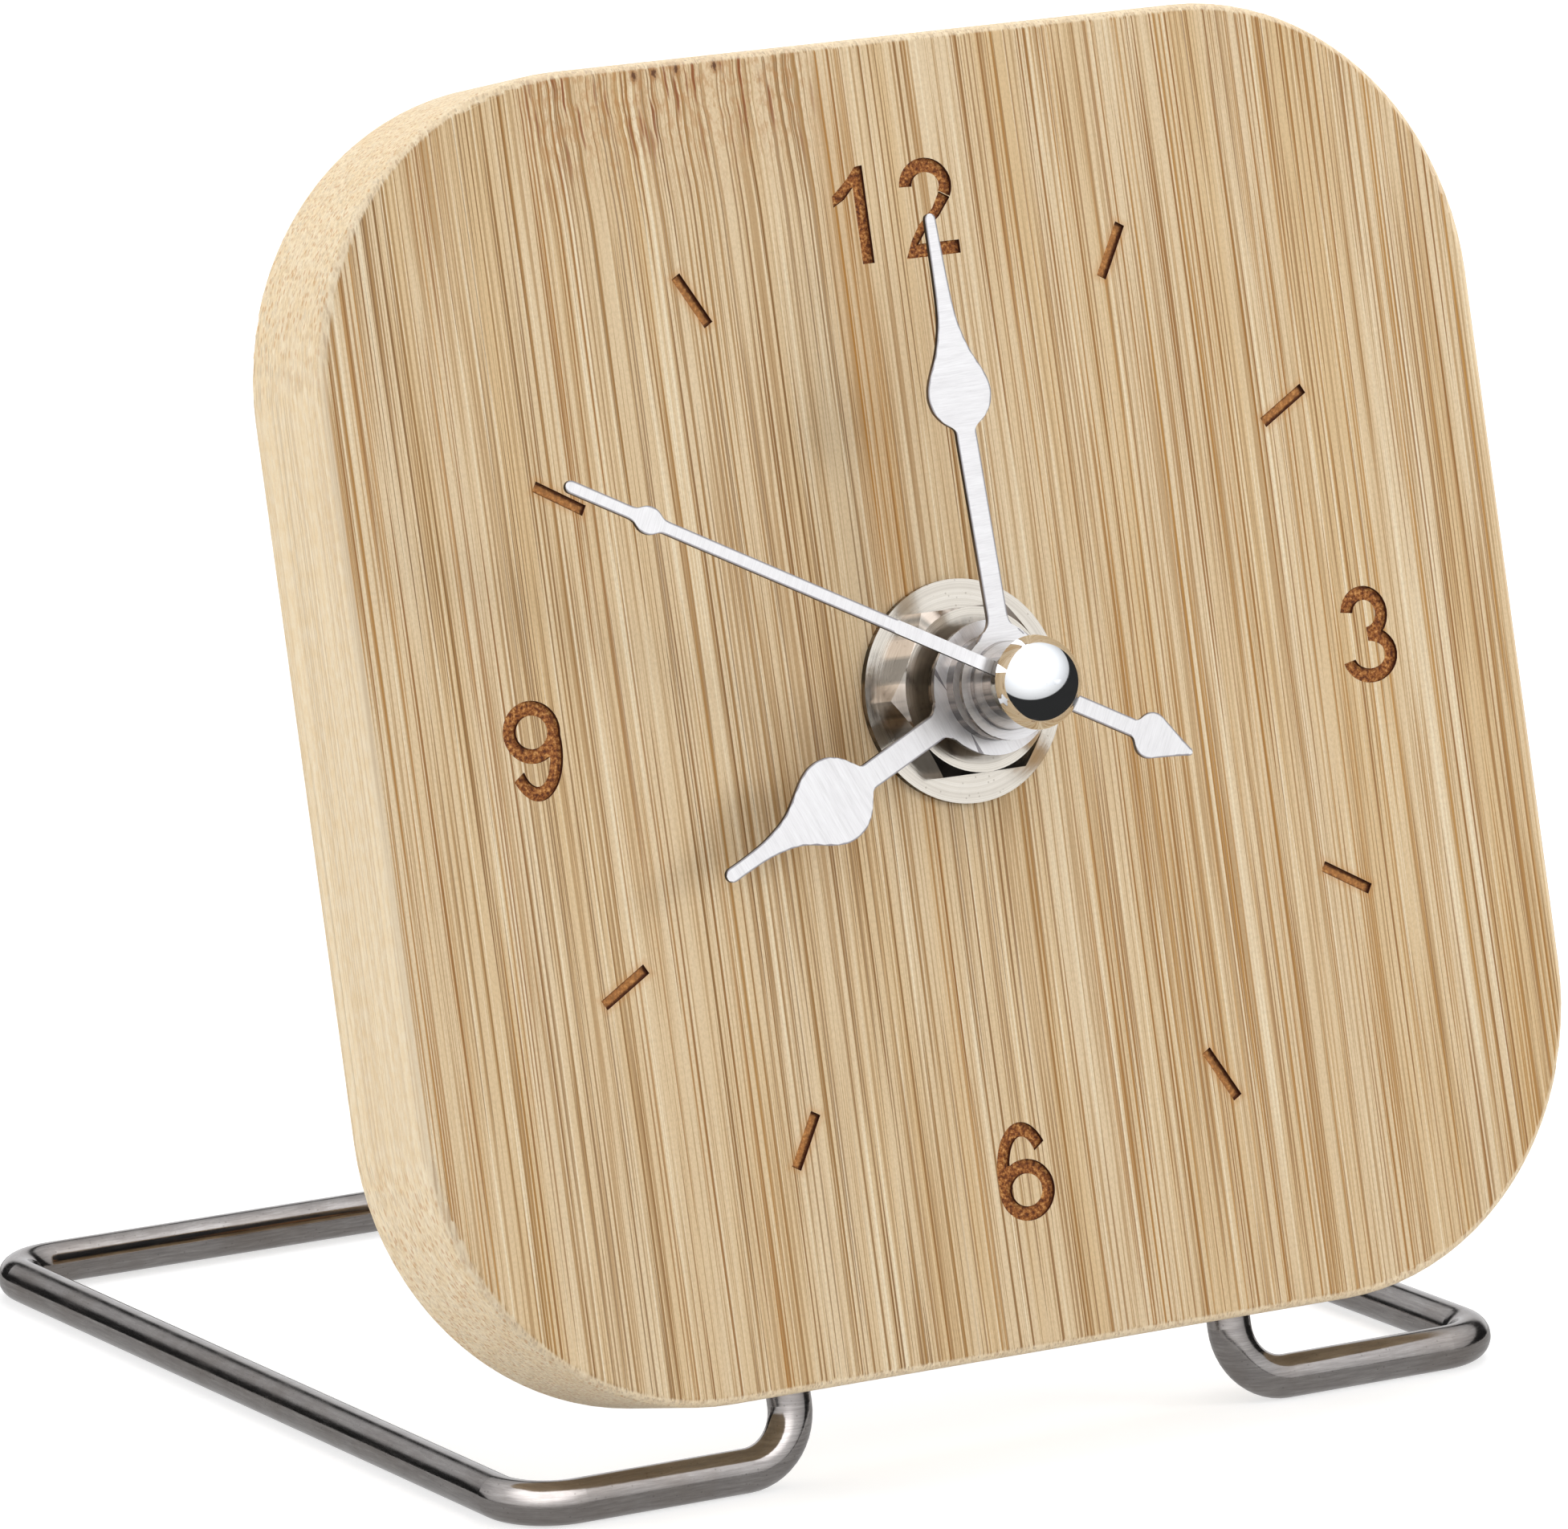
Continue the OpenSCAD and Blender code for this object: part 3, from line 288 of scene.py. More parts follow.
def handling_group():
    """Faint smudges and small specks from handling."""
    group, given, result = new_group("handling", {"Smudge": 0.12, "Speck": 1.6}, ["Smudges", "Specks"])
    cloud = noise(group, given["Vector"], given["Smudge"], *SMUDGE_CLOUD)
    spots = put(group, "ShaderNodeTexVoronoi", {"Vector": given["Vector"], "Scale": given["Speck"]})
    connect(group, result["Smudges"], span(group, cloud, *SMUDGE_RANGE))
    connect(group, result["Specks"], span(group, spots.outputs["Distance"], *SPECK_RANGE))
    return group


def moulded_skin_group():
    """The fine texture of moulded plastic, with a slow wave from its shrinking."""
    group, given, result = new_group("moulded_skin", {"Grain": 6.0}, ["Height", "Patch"])
    pits = noise(group, given["Vector"], given["Grain"], *SKIN_PITS)
    wave = noise(group, given["Vector"], *SKIN_WAVE)
    connect(group, result["Height"], calc(group, "ADD", pits, product(group, wave, SKIN_WAVE_UP)))
    connect(group, result["Patch"], span(group, wave, *SKIN_PATCH_RANGE))
    return group


LONG_FIBRES = long_fibres_group()
BRUSHING = brushing_group()
HANDLING = handling_group()
MOULDED_SKIN = moulded_skin_group()


def new_material(name):
    """A material with a plain Principled shader; returns it with its tree and that shader."""
    material = bpy.data.materials.new(name)
    material.use_nodes = True
    tree = material.node_tree
    return material, tree, tree.nodes["Principled BSDF"]


def feed(tree, shader, **inputs):
    """Sets the shader's own sockets; an underscore stands for a space."""
    for key, value in inputs.items():
        connect(tree, shader.inputs[key.replace("_", " ")], value)


# Below, a roughness is a pattern's range and the roughness at its ends; a relief is strength and depth

# Bamboo. Places are millimetres from the dial's centre, and sizes are millimetres
STRIP_WIDTH = 24.6
STRIP_START = -29.7
STRIP_SHIFT = 900.0
WAVE_REACH = 1.2
SWIRL_REACH = 0.7

# Patterns in the wood: fineness across the grain and along it, detail and roughness
WAVES = (0.04, 0.012, 1.0)
SWIRLS = (0.35, 0.22, 2.0, 0.6)
PATCHES = (0.20, 0.008, 3.0, 0.55)
FINE_LINES = (2.8, 0.012, 3.0, 0.75)
DENSE_BANDS = (0.33, 0.003, 2.0, 0.6)
GOLDEN_BANDS = (0.16, 0.002, 1.0)
FLECKS = (2.2, 0.7, 3.0, 0.65)
PITH = (5.0, 3.0, 2.0, 0.6)
MOTTLE = (1.6, 0.7, 4.0, 0.7)
SANDING = (5.0, 1.6)

# The range of a pattern over which its mark comes in
PATCH_RANGE = (0.38, 0.68)
DARK_LINE_RANGE = (0.51, 0.60)
PALE_LINE_RANGE = (0.43, 0.36)
DENSE_RANGE = (0.36, 0.64)
GOLDEN_RANGE = (0.50, 0.62)
FLECK_RANGE = (0.46, 0.60)
PITH_RANGE = (0.35, 0.70)
MOTTLE_RANGE = (0.35, 0.65)
RIM_RANGE = (0.9, 0.35)
# Where the painted highlight on the rim's bevel shows
BEVEL_HIGHLIGHT_RANGES = ((0.99, 0.90), (0.30, 0.60))
WALL_RANGE = (0.8, 0.3)

# Tones of the wood, and tints with the share that each may take
PALE_WOOD = tone(228, 205, 169)
WARM_WOOD = tone(220, 191, 147)
DARK_LINE = (0.8, tone(182, 147, 102))
PALE_LINE = (1.0, tone(240, 223, 192))
PITH_TINT = (0.16, tone(150, 122, 84))
# The streak beside the twelve: a stain in the wood, deepened with a painted shadow of the minute hand
STAIN_AND_SHADOW = (0.26, tone(176, 122, 48))
TAN_FIBRE = tone(172, 130, 74)
TAN_FIBRE_DARK = tone(132, 92, 46)
GOLDEN_FIBRE = tone(192, 140, 68)
GOLDEN_FIBRE_DARK = tone(150, 100, 42)
NODE_FLECK = (0.50, tone(182, 130, 78))
NODE_STREAK = (0.95, tone(140, 82, 42))
PIT_RIM = (0.7, tone(170, 122, 74))
PIT_HEART = (0.9, tone(84, 48, 30))
CUT_END_TONES = (tone(244, 222, 184), tone(252, 238, 210))
CUT_END_SHARE = 0.62
# A painted highlight on the rim's bevel
BEVEL_HIGHLIGHT = (0.45, tone(255, 238, 208))
END_DASH = (0.55, tone(196, 138, 80))

# Each layer of fibres: thickness, length, core, strength, share shown and offset from the others
FIBRE_SIZES = [
    (0.20, 45.0, 0.34, 0.70, 0.95, 13.0),
    (0.27, 80.0, 0.31, 0.90, 0.74, 47.0),
    (0.42, 150.0, 0.21, 0.85, 0.46, 0.0),
]
FIBRE_SOFTNESS = 0.10
LUCK_RANGE = (-0.05, 0.25)
FIBRES_SHOWN = 0.66
MORE_WHERE_DENSE = 0.36
MORE_ON_RIGHT = 0.16
RIGHT_SIDE = (0.0, 30.0)
GOLDEN_SIDE = (-8.0, 14.0)
GOLDEN_SIDE_SHARE = 0.75

# Where the brown streak beside the twelve comes in and goes out: a stain in the wood, deepened with a
# painted shadow of the minute hand
STAIN_AND_SHADOW_ACROSS = ((-7.2, -5.4), (-2.0, -3.6))
STAIN_AND_SHADOW_UP = ((3.0, 14.0), (52.0, 36.0))

# The node in the culm: where it comes in and goes out, its streaks and its dark pits
NODE_UP = (37.0, 47.5)
NODE_ACROSS = ((-31.5, -28.5), (-4.0, -8.0))
STREAK_SIZES = {"Width": 0.42, "Length": 6.0, "Core": 0.20, "Softness": 0.16}
STREAK_CHANCE = (0.20, 0.4)
NODE_PITS = [(-20.6, 48.8), (-18.9, 48.9), (-17.0, 49.0), (-13.7, 49.0)]
PIT_SHAPE = (1.0, 0.55, 0.0)
PIT_RAGGED = 0.5
PIT_RIM_REACH = (0.75, 0.50)
PIT_HEART_REACH = (0.52, 0.34)

# Dashes of cut fibres, where the rim turns a corner
CORNER_FROM = (26.0, 34.0)
DASH_SIZES = {"Width": 0.42, "Length": 1.2, "Core": 0.20, "Softness": 0.16}

# The burnt ring of numerals and ticks, how deep the burning goes, and its tones
NUMERAL_RING = (12.0, 46.0)
BURN_DEPTH = (-0.6, -0.02)
HOUR_STEP = math.radians(30)
QUARTER = math.radians(90)
WHOLE_TURNS = math.radians(720)
TICK_START = 34.3
TICK_LENGTH = 4.5
TICK_WIDTH = 0.85
NO_TICK = 9.0
CHAR_FINENESS = (3.2, 3.0, 0.65)
CHAR_TONES = [(0.34, tone(80, 39, 14)), (0.45, tone(126, 69, 28)), (0.56, tone(172, 110, 54)),
              (0.67, tone(212, 158, 94))]
TICK_FLOOR = (0.45, tone(206, 146, 84))
TICK_FLOOR_REACH = (0.0, -0.30)
TICK_EDGE = (0.8, tone(76, 36, 14))
TICK_EDGE_REACH = (0.22, 0.08)
BURNT_WALL = (1.0, tone(70, 32, 14))
SCORCH = (0.30, tone(188, 128, 62))
SCORCH_REACH = (0.60, 0.05)

# Relief of the wood: how far lines, sanding and char stand out, and the depth of the whole
LINES_DOWN = -0.6
SANDING_UP = 0.35
CHAR_UP = 1.5
WOOD_RELIEF = (0.5, 0.06 * MM)
WOOD_ROUGHNESS = (0.3, 0.8, 0.5, 0.66)
WOOD_SHINE = 0.3


def grain_place(tree, place, near_node):
    """The place in the grain: waved by growth, swirled near the node, its own in each strip."""
    across, up, out = parts_of(tree, place)
    wave = product(tree, grained(tree, place, *WAVES), WAVE_REACH)
    swirl = product(tree, grained(tree, place, *SWIRLS), near_node, SWIRL_REACH)
    push = calc(tree, "ADD", wave, swirl)
    from_first = calc(tree, "SUBTRACT", across, STRIP_START)
    strip = calc(tree, "FLOOR", calc(tree, "DIVIDE", from_first, STRIP_WIDTH))
    chance = put(tree, "ShaderNodeTexWhiteNoise", {"W": strip}, noise_dimensions="1D").outputs["Value"]
    along = calc(tree, "ADD", up, product(tree, chance, STRIP_SHIFT))
    return joined(tree, calc(tree, "ADD", across, push), along, out)


def ground_tone(tree, grain, fine):
    """Pale and warm patches that run up the plate, then close fine lines."""
    warm = span(tree, grained(tree, grain, *PATCHES), *PATCH_RANGE)
    ground = mixed(tree, warm, PALE_WOOD, WARM_WOOD)
    ground = tinted(tree, ground, span(tree, fine, *DARK_LINE_RANGE), *DARK_LINE)
    return tinted(tree, ground, span(tree, fine, *PALE_LINE_RANGE), *PALE_LINE)


def fibres_shown(tree, grain, across):
    """The share of the fibres that show: more in dense bands and towards the right."""
    dense = span(tree, grained(tree, grain, *DENSE_BANDS), *DENSE_RANGE)
    shown = calc(tree, "ADD", product(tree, dense, MORE_WHERE_DENSE), FIBRES_SHOWN)
    return calc(tree, "ADD", shown, product(tree, span(tree, across, *RIGHT_SIDE), MORE_ON_RIGHT))


def fibre_tones(tree, grain, across):
    """The dark and the plain tone of the fibres: tan, or golden in some bands and on the right."""
    band = span(tree, grained(tree, grain, *GOLDEN_BANDS), *GOLDEN_RANGE)
    side = product(tree, span(tree, across, *GOLDEN_SIDE), GOLDEN_SIDE_SHARE)
    golden = calc(tree, "MAXIMUM", band, side)
    dark_tone = mixed(tree, golden, TAN_FIBRE_DARK, GOLDEN_FIBRE_DARK)
    return dark_tone, mixed(tree, golden, TAN_FIBRE, GOLDEN_FIBRE)


def fibre_lines(tree, grain, across, colour):
    """Draws the layers of fibres; returns the colour and the mask of all of them."""
    shown = fibres_shown(tree, grain, across)
    dark_tone, line_tone = fibre_tones(tree, grain, across)
    lines = 0.0
    for width, reach, core, strength, often, offset in FIBRE_SIZES:
        moved = vector_calc(tree, "ADD", grain, (offset,) * 3)
        sizes = {"Width": width, "Length": reach, "Core": core, "Softness": FIBRE_SOFTNESS}
        fibre = use(tree, LONG_FIBRES, {"Vector": moved, **sizes})
        luck = calc(tree, "SUBTRACT", product(tree, shown, often), fibre["Chance"])
        mask = product(tree, fibre["Mask"], span(tree, luck, *LUCK_RANGE))
        fibre_tone = mixed(tree, span(tree, fibre["Chance"], 0.0, often), dark_tone, line_tone)
        colour = tinted(tree, colour, mask, strength, fibre_tone)
        lines = calc(tree, "MAXIMUM", lines, mask)
    return colour, lines


def node_marks(tree, grain, across, up, pith, near_node, colour):
    """The node: flecks on it, red-brown streaks that hang from it, and its dark pits."""
    flecks = span(tree, grained(tree, grain, *FLECKS), *FLECK_RANGE)
    colour = tinted(tree, colour, product(tree, near_node, flecks), *NODE_FLECK)
    streak = use(tree, LONG_FIBRES, {"Vector": grain, **STREAK_SIZES})
    hanging = product(tree, streak["Mask"], near_node, span(tree, streak["Chance"], *STREAK_CHANCE))
    colour = tinted(tree, colour, hanging, *NODE_STREAK)
    for pit_across, pit_up in NODE_PITS:
        sideways = calc(tree, "SUBTRACT", across, pit_across)
        upwards = calc(tree, "SUBTRACT", up, pit_up)
        from_pit = vector_calc(tree, "MULTIPLY", joined(tree, sideways, upwards, 0.0), PIT_SHAPE)
        ragged = calc(tree, "MULTIPLY_ADD", pith, PIT_RAGGED, length(tree, from_pit))
        colour = tinted(tree, colour, span(tree, ragged, *PIT_RIM_REACH), *PIT_RIM)
        colour = tinted(tree, colour, span(tree, ragged, *PIT_HEART_REACH), *PIT_HEART)
    return colour


def cut_ends(tree, place, across, up, colour):
    """Paler wood round the rim, with a painted highlight along its bevel and dashes of cut fibres at the
    corners.
    """
    facing = facing_out(tree)
    rim = span(tree, facing, *RIM_RANGE)
    mottle = span(tree, grained(tree, place, *MOTTLE), *MOTTLE_RANGE)
    colour = tinted(tree, colour, rim, CUT_END_SHARE, mixed(tree, mottle, *CUT_END_TONES))
    # A painted highlight along the bevel of the front edge
    colour = tinted(tree, colour, window(tree, facing, *BEVEL_HIGHLIGHT_RANGES), *BEVEL_HIGHLIGHT)
    at_corner = product(tree, span(tree, calc(tree, "ABSOLUTE", across), *CORNER_FROM),
                        span(tree, calc(tree, "ABSOLUTE", up), *CORNER_FROM))
    dash = use(tree, LONG_FIBRES, {"Vector": place, **DASH_SIZES})["Mask"]
    return tinted(tree, colour, product(tree, dash, rim, at_corner), *END_DASH)


def from_tick(tree, across, up, radius):
    """Millimetres from the nearest tick's outline, negative inside it; large beside a numeral."""
    angle = calc(tree, "ADD", calc(tree, "ARCTAN2", across, up), WHOLE_TURNS)
    off_hour = calc(tree, "PINGPONG", angle, HOUR_STEP / 2)
    off_quarter = calc(tree, "PINGPONG", angle, QUARTER / 2)
    sideways = product(tree, radius, calc(tree, "SINE", off_hour))
    sideways = calc(tree, "SUBTRACT", sideways, TICK_WIDTH / 2)
    from_middle = calc(tree, "ABSOLUTE", calc(tree, "SUBTRACT", radius, TICK_START + TICK_LENGTH / 2))
    endways = calc(tree, "SUBTRACT", from_middle, TICK_LENGTH / 2)
    numeral = product(tree, calc(tree, "LESS_THAN", off_quarter, HOUR_STEP / 2), NO_TICK)
    return calc(tree, "ADD", calc(tree, "MAXIMUM", sideways, endways), numeral)


def burnt_marks(tree, across, up, out, char, colour):
    """Chars the numerals and ticks, and scorches the wood round each tick; returns colour and mask."""
    radius = from_axis(tree, across, up)
    burnt = product(tree, inside(tree, radius, NUMERAL_RING), inside(tree, out, BURN_DEPTH))
    tick = from_tick(tree, across, up, radius)
    burn = ramp(tree, char, CHAR_TONES)
    burn = tinted(tree, burn, span(tree, tick, *TICK_FLOOR_REACH), *TICK_FLOOR)
    burn = tinted(tree, burn, span(tree, calc(tree, "ABSOLUTE", tick), *TICK_EDGE_REACH), *TICK_EDGE)
    burn = tinted(tree, burn, span(tree, facing_out(tree), *WALL_RANGE), *BURNT_WALL)
    colour = tinted(tree, colour, span(tree, tick, *SCORCH_REACH), *SCORCH)
    return mixed(tree, burnt, colour, burn), burnt


def bamboo():
    """Sanded bamboo: pale strips full of fine tan fibres, a node near the top, burnt marks."""
    material, tree, shader = new_material("bamboo")
    place = dial_place(tree)
    across, up, out = parts_of(tree, place)
    near_node = product(tree, span(tree, up, *NODE_UP), window(tree, across, *NODE_ACROSS))
    grain = grain_place(tree, place, near_node)
    fine = grained(tree, grain, *FINE_LINES)
    pith = grained(tree, place, *PITH)
    char = noise(tree, place, *CHAR_FINENESS)
    colour, lines = fibre_lines(tree, grain, across, ground_tone(tree, grain, fine))
    # A stain in the wood beside the twelve, deepened with a painted shadow of the minute hand
    stain_and_shadow = product(tree, window(tree, across, *STAIN_AND_SHADOW_ACROSS), window(tree, up, *STAIN_AND_SHADOW_UP))
    colour = tinted(tree, colour, stain_and_shadow, *STAIN_AND_SHADOW)
    colour = tinted(tree, colour, span(tree, pith, *PITH_RANGE), *PITH_TINT)
    colour = node_marks(tree, grain, across, up, pith, near_node, colour)
    colour = cut_ends(tree, place, across, up, colour)
    colour, burnt = burnt_marks(tree, across, up, out, char, colour)
    sanding = product(tree, grained(tree, place, *SANDING), SANDING_UP)
    height = calc(tree, "ADD", product(tree, lines, LINES_DOWN), sanding)
    height = calc(tree, "ADD", height, product(tree, char, burnt, CHAR_UP))
    feed(tree, shader, Base_Color=colour, Roughness=span(tree, fine, *WOOD_ROUGHNESS),
         Specular_IOR_Level=WOOD_SHINE, Normal=relief(tree, height, *WOOD_RELIEF))
    return material


# The wire: its streaks' fineness on each axis, detail and roughness, then its other marks
WIRE_STREAKS = ((0.35, 0.35, 4.5), 4.0, 0.7)
WIRE_PITS = (3.0, 4.0, 0.7)
WIRE_STREAKS_UP = 0.5
WIRE_PITS_UP = 0.5
WIRE_WIPED = {"Smudge": 0.16, "Speck": 0.5}
WIRE_NICKED = {"Smudge": 0.3, "Speck": 1.7}
WIRE_TONES = [(0.30, tone(140, 135, 133)), (0.55, tone(160, 155, 152)), (0.75, tone(178, 174, 171))]
WIRE_SMUDGE = (0.35, tone(120, 108, 98))
WIRE_NICK = (0.35, tone(92, 86, 82))
WIRE_ROUGHNESS = (0.3, 0.75, 0.09, 0.15)
WIRE_RELIEF = (0.14, 0.03 * MM)
SMUDGE_ROUGHNESS = 0.06

# Painted reflections on turned sides, as light and dark streaks: fineness round the axis, detail and
# roughness, and where they show
REFLECTION_STREAKS = (2.6, 3.0, 0.65)
REFLECTION_STREAKS_RANGE = (0.44, 0.56)

# The hands: their brushing, marks and tones, painted contact shade in rings at the hub and painted
# reflections on their sides
HAND_BRUSHING = {"Across": 9.0, "Along": 0.5}
HAND_HANDLING = {"Smudge": 0.3, "Speck": 1.1}
# Rings near the hub: turning marks with painted contact shade
HAND_SHADE_RINGS = (2.6, 3.0, 0.7)
HAND_SHADE_RING_RANGE = (0.50, 0.62)
HAND_TONES = [(0.30, tone(222, 220, 220)), (0.50, tone(236, 234, 234)), (0.70, tone(246, 245, 245))]
HAND_RING_SHADE = (0.55, tone(126, 112, 102))
HAND_OUTLINE_DARK = (0.8, tone(120, 114, 118))
HAND_SIDE_REFLECTION_TONES = (tone(44, 37, 33), tone(112, 102, 94))
HAND_SIDE_REFLECTION_SHARE = 0.96
HAND_SIDE_REFLECTION_RANGE = (0.85, 0.45)
HAND_METALLIC = 0.9
HAND_ROUGHNESS = (0.3, 0.7, 0.27, 0.34)
HAND_SMUDGE_ROUGHNESS = 0.05
HAND_RELIEF = (0.12, 0.02 * MM)

# The hands' outlines and hub in millimetres, and how far in from the edge the outline is darker
OUTLINE_STEP = 0.25
WIDEST_HAND = 8.0
HUB_REACH = 3.25
HUB_RING_SHADE_REACH = (HUB_REACH + 1.2, HUB_REACH - 0.4)
OUTLINE_DARK_REACH = (0.16, 0.048)

# The nickel of the nut, washer and bushing: turning marks, specks, painted reflections on the sides and
# slow buckles
NICKEL_HANDLING = {"Smudge": 0.35, "Speck": 1.5}
NICKEL_RINGS = (7.0, 3.0, 0.7)
NICKEL_RINGS_DRAWN = 0.6
NICKEL_TONES = [(0.30, tone(208, 200, 188)), (0.55, tone(225, 218, 206)), (0.75, tone(238, 232, 222))]
NICKEL_SPECK = (0.3, tone(126, 112, 96))
NICKEL_SIDE_REFLECTION_TONES = (tone(40, 33, 28), tone(124, 112, 102))
NICKEL_SIDE_REFLECTION_SHARE = 0.94
NICKEL_SIDE_REFLECTION_RANGE = (0.97, 0.78)
NICKEL_ROUGHNESS = (0.3, 0.75, 0.07, 0.14)
NICKEL_BUCKLES = (0.7, 2.0)
NICKEL_BUCKLED = 1.4
NICKEL_RELIEF = (0.3, 0.03 * MM)

# Painted shade in the recess of the nut's front: nearer the axis and deeper than these, in millimetres
RECESS_SHADE_FROM = (5.9, 5.2)
RECESS_SHADE_LEVEL = 4.4
RECESS_SHADE_SHARE = 0.45

# The chrome of the cap
CAP_HANDLING = {"Smudge": 0.6, "Speck": 2.4}
CAP_TONE = tone(232, 234, 236)
CAP_SPECK = (0.12, tone(150, 150, 150))
CAP_ROUGHNESS = (0.0, 1.0, 0.03, 0.075)

# The steels inside
STEEL_BRUSHING = {"Across": 7.0, "Along": 0.9}
STEEL_HANDLING = {"Smudge": 0.2, "Speck": 1.2}
STEEL_SPECK_SHARE = 0.4
STEEL_RANGE = (0.3, 0.7)
STEEL_RELIEF = (0.3, 0.02 * MM)


def wire():
    """Drawn stainless wire, satin, with streaks along it and small marks from the bending."""
    material, tree, shader = new_material("wire")
    place = room_place(tree)
    streaks = stretched(tree, place, *WIRE_STREAKS)
    pits = noise(tree, place, *WIRE_PITS)
    smudges = use(tree, HANDLING, {"Vector": place, **WIRE_WIPED})["Smudges"]
    nicks = use(tree, HANDLING, {"Vector": place, **WIRE_NICKED})["Specks"]
    steel = ramp(tree, streaks, WIRE_TONES)
    steel = tinted(tree, steel, smudges, *WIRE_SMUDGE)
    steel = tinted(tree, steel, nicks, *WIRE_NICK)
    smeared = product(tree, smudges, SMUDGE_ROUGHNESS)
    rough = calc(tree, "ADD", span(tree, streaks, *WIRE_ROUGHNESS), smeared)
    height = calc(tree, "ADD", product(tree, streaks, WIRE_STREAKS_UP), product(tree, pits, WIRE_PITS_UP))
    feed(tree, shader, Base_Color=steel, Metallic=1.0, Roughness=rough,
         Normal=relief(tree, height, *WIRE_RELIEF))
    return material


def reflection_streaks_round(tree, across, up):
    """Painted reflections on turned sides: streaks of light and dark round the dial's axis."""
    way = vector_calc(tree, "NORMALIZE", joined(tree, across, up, 0.0))
    return span(tree, noise(tree, way, *REFLECTION_STREAKS), *REFLECTION_STREAKS_RANGE)


def widest_rows(node, turn):
    """The hand's greatest half width at each step along it, read from the hand itself."""
    rotation = into_dial(turn).to_matrix()
    widest = {round(end * HUB_REACH / OUTLINE_STEP): WIDEST_HAND for end in (-1, 1)}
    for corner in NODES[node].data.vertices:
        at = rotation @ (corner.co - DIAL_CENTRE) / MM
        if abs(at.y) > HUB_REACH + OUTLINE_STEP:
            step = round(at.y / OUTLINE_STEP)
            widest[step] = max(widest.get(step, 0.0), abs(at.x))
    return widest


def half_width(tree, node, turn, along):
    """Half the hand's width at each place along it."""
    widest = widest_rows(node, turn)
    low, high = min(widest), max(widest)
    rows = [((step - low) / (high - low), widest[step] / WIDEST_HAND) for step in sorted(widest)]
    share = span(tree, along, low * OUTLINE_STEP, high * OUTLINE_STEP, soft=False)
    curve = put(tree, "ShaderNodeFloatCurve", {"Value": share})
    line = curve.mapping.curves[0]
    for point, row in zip(line.points, (rows[0], rows[-1])):
        point.location = row
        point.handle_type = "VECTOR"
    for row in rows[1:-1]:
        line.points.new(*row).handle_type = "VECTOR"
    curve.mapping.update()
    return product(tree, curve.outputs[0], WIDEST_HAND)


def hand_metal(node, turn):
    """Brushed, nearly white metal; it was brushed across the hand, and it is darker along its outline.
    Near the hub it has turning marks with painted contact shade, and its sides have painted reflections.
    """
    material, tree, shader = new_material(node + "_metal")
    place = dial_place(tree, turn)
    across, along, out = parts_of(tree, place)
    brushed = use(tree, BRUSHING, {"Vector": joined(tree, along, across, out), **HAND_BRUSHING})["Shade"]
    smudges = use(tree, HANDLING, {"Vector": place, **HAND_HANDLING})["Smudges"]
    radius = from_axis(tree, across, along)
    # Rings of turning marks and painted contact shade near the hub
    rings = span(tree, noise(tree, joined(tree, radius, 0.0, 0.0), *HAND_SHADE_RINGS), *HAND_SHADE_RING_RANGE)
    turned = product(tree, rings, span(tree, radius, *HUB_RING_SHADE_REACH))
    colour = tinted(tree, ramp(tree, brushed, HAND_TONES), turned, *HAND_RING_SHADE)
    # Darker along the hand's outline
    margin = calc(tree, "SUBTRACT", half_width(tree, node, turn, along), calc(tree, "ABSOLUTE", across))
    colour = tinted(tree, colour, span(tree, margin, *OUTLINE_DARK_REACH), *HAND_OUTLINE_DARK)
    # Painted reflections on the sides of the hand and its hub: dark and light streaks round the dial's
    # axis
    dial_across, dial_up = parts_of(tree, dial_place(tree))[:2]
    side_reflection_tone = mixed(tree, reflection_streaks_round(tree, dial_across, dial_up), *HAND_SIDE_REFLECTION_TONES)
    side = span(tree, facing_out(tree), *HAND_SIDE_REFLECTION_RANGE)
    colour = tinted(tree, colour, side, HAND_SIDE_REFLECTION_SHARE, side_reflection_tone)
    smeared = product(tree, smudges, HAND_SMUDGE_ROUGHNESS)
    rough = calc(tree, "ADD", span(tree, brushed, *HAND_ROUGHNESS), smeared)
    feed(tree, shader, Base_Color=colour, Metallic=HAND_METALLIC, Roughness=rough,
         Normal=relief(tree, brushed, *HAND_RELIEF))
    return material


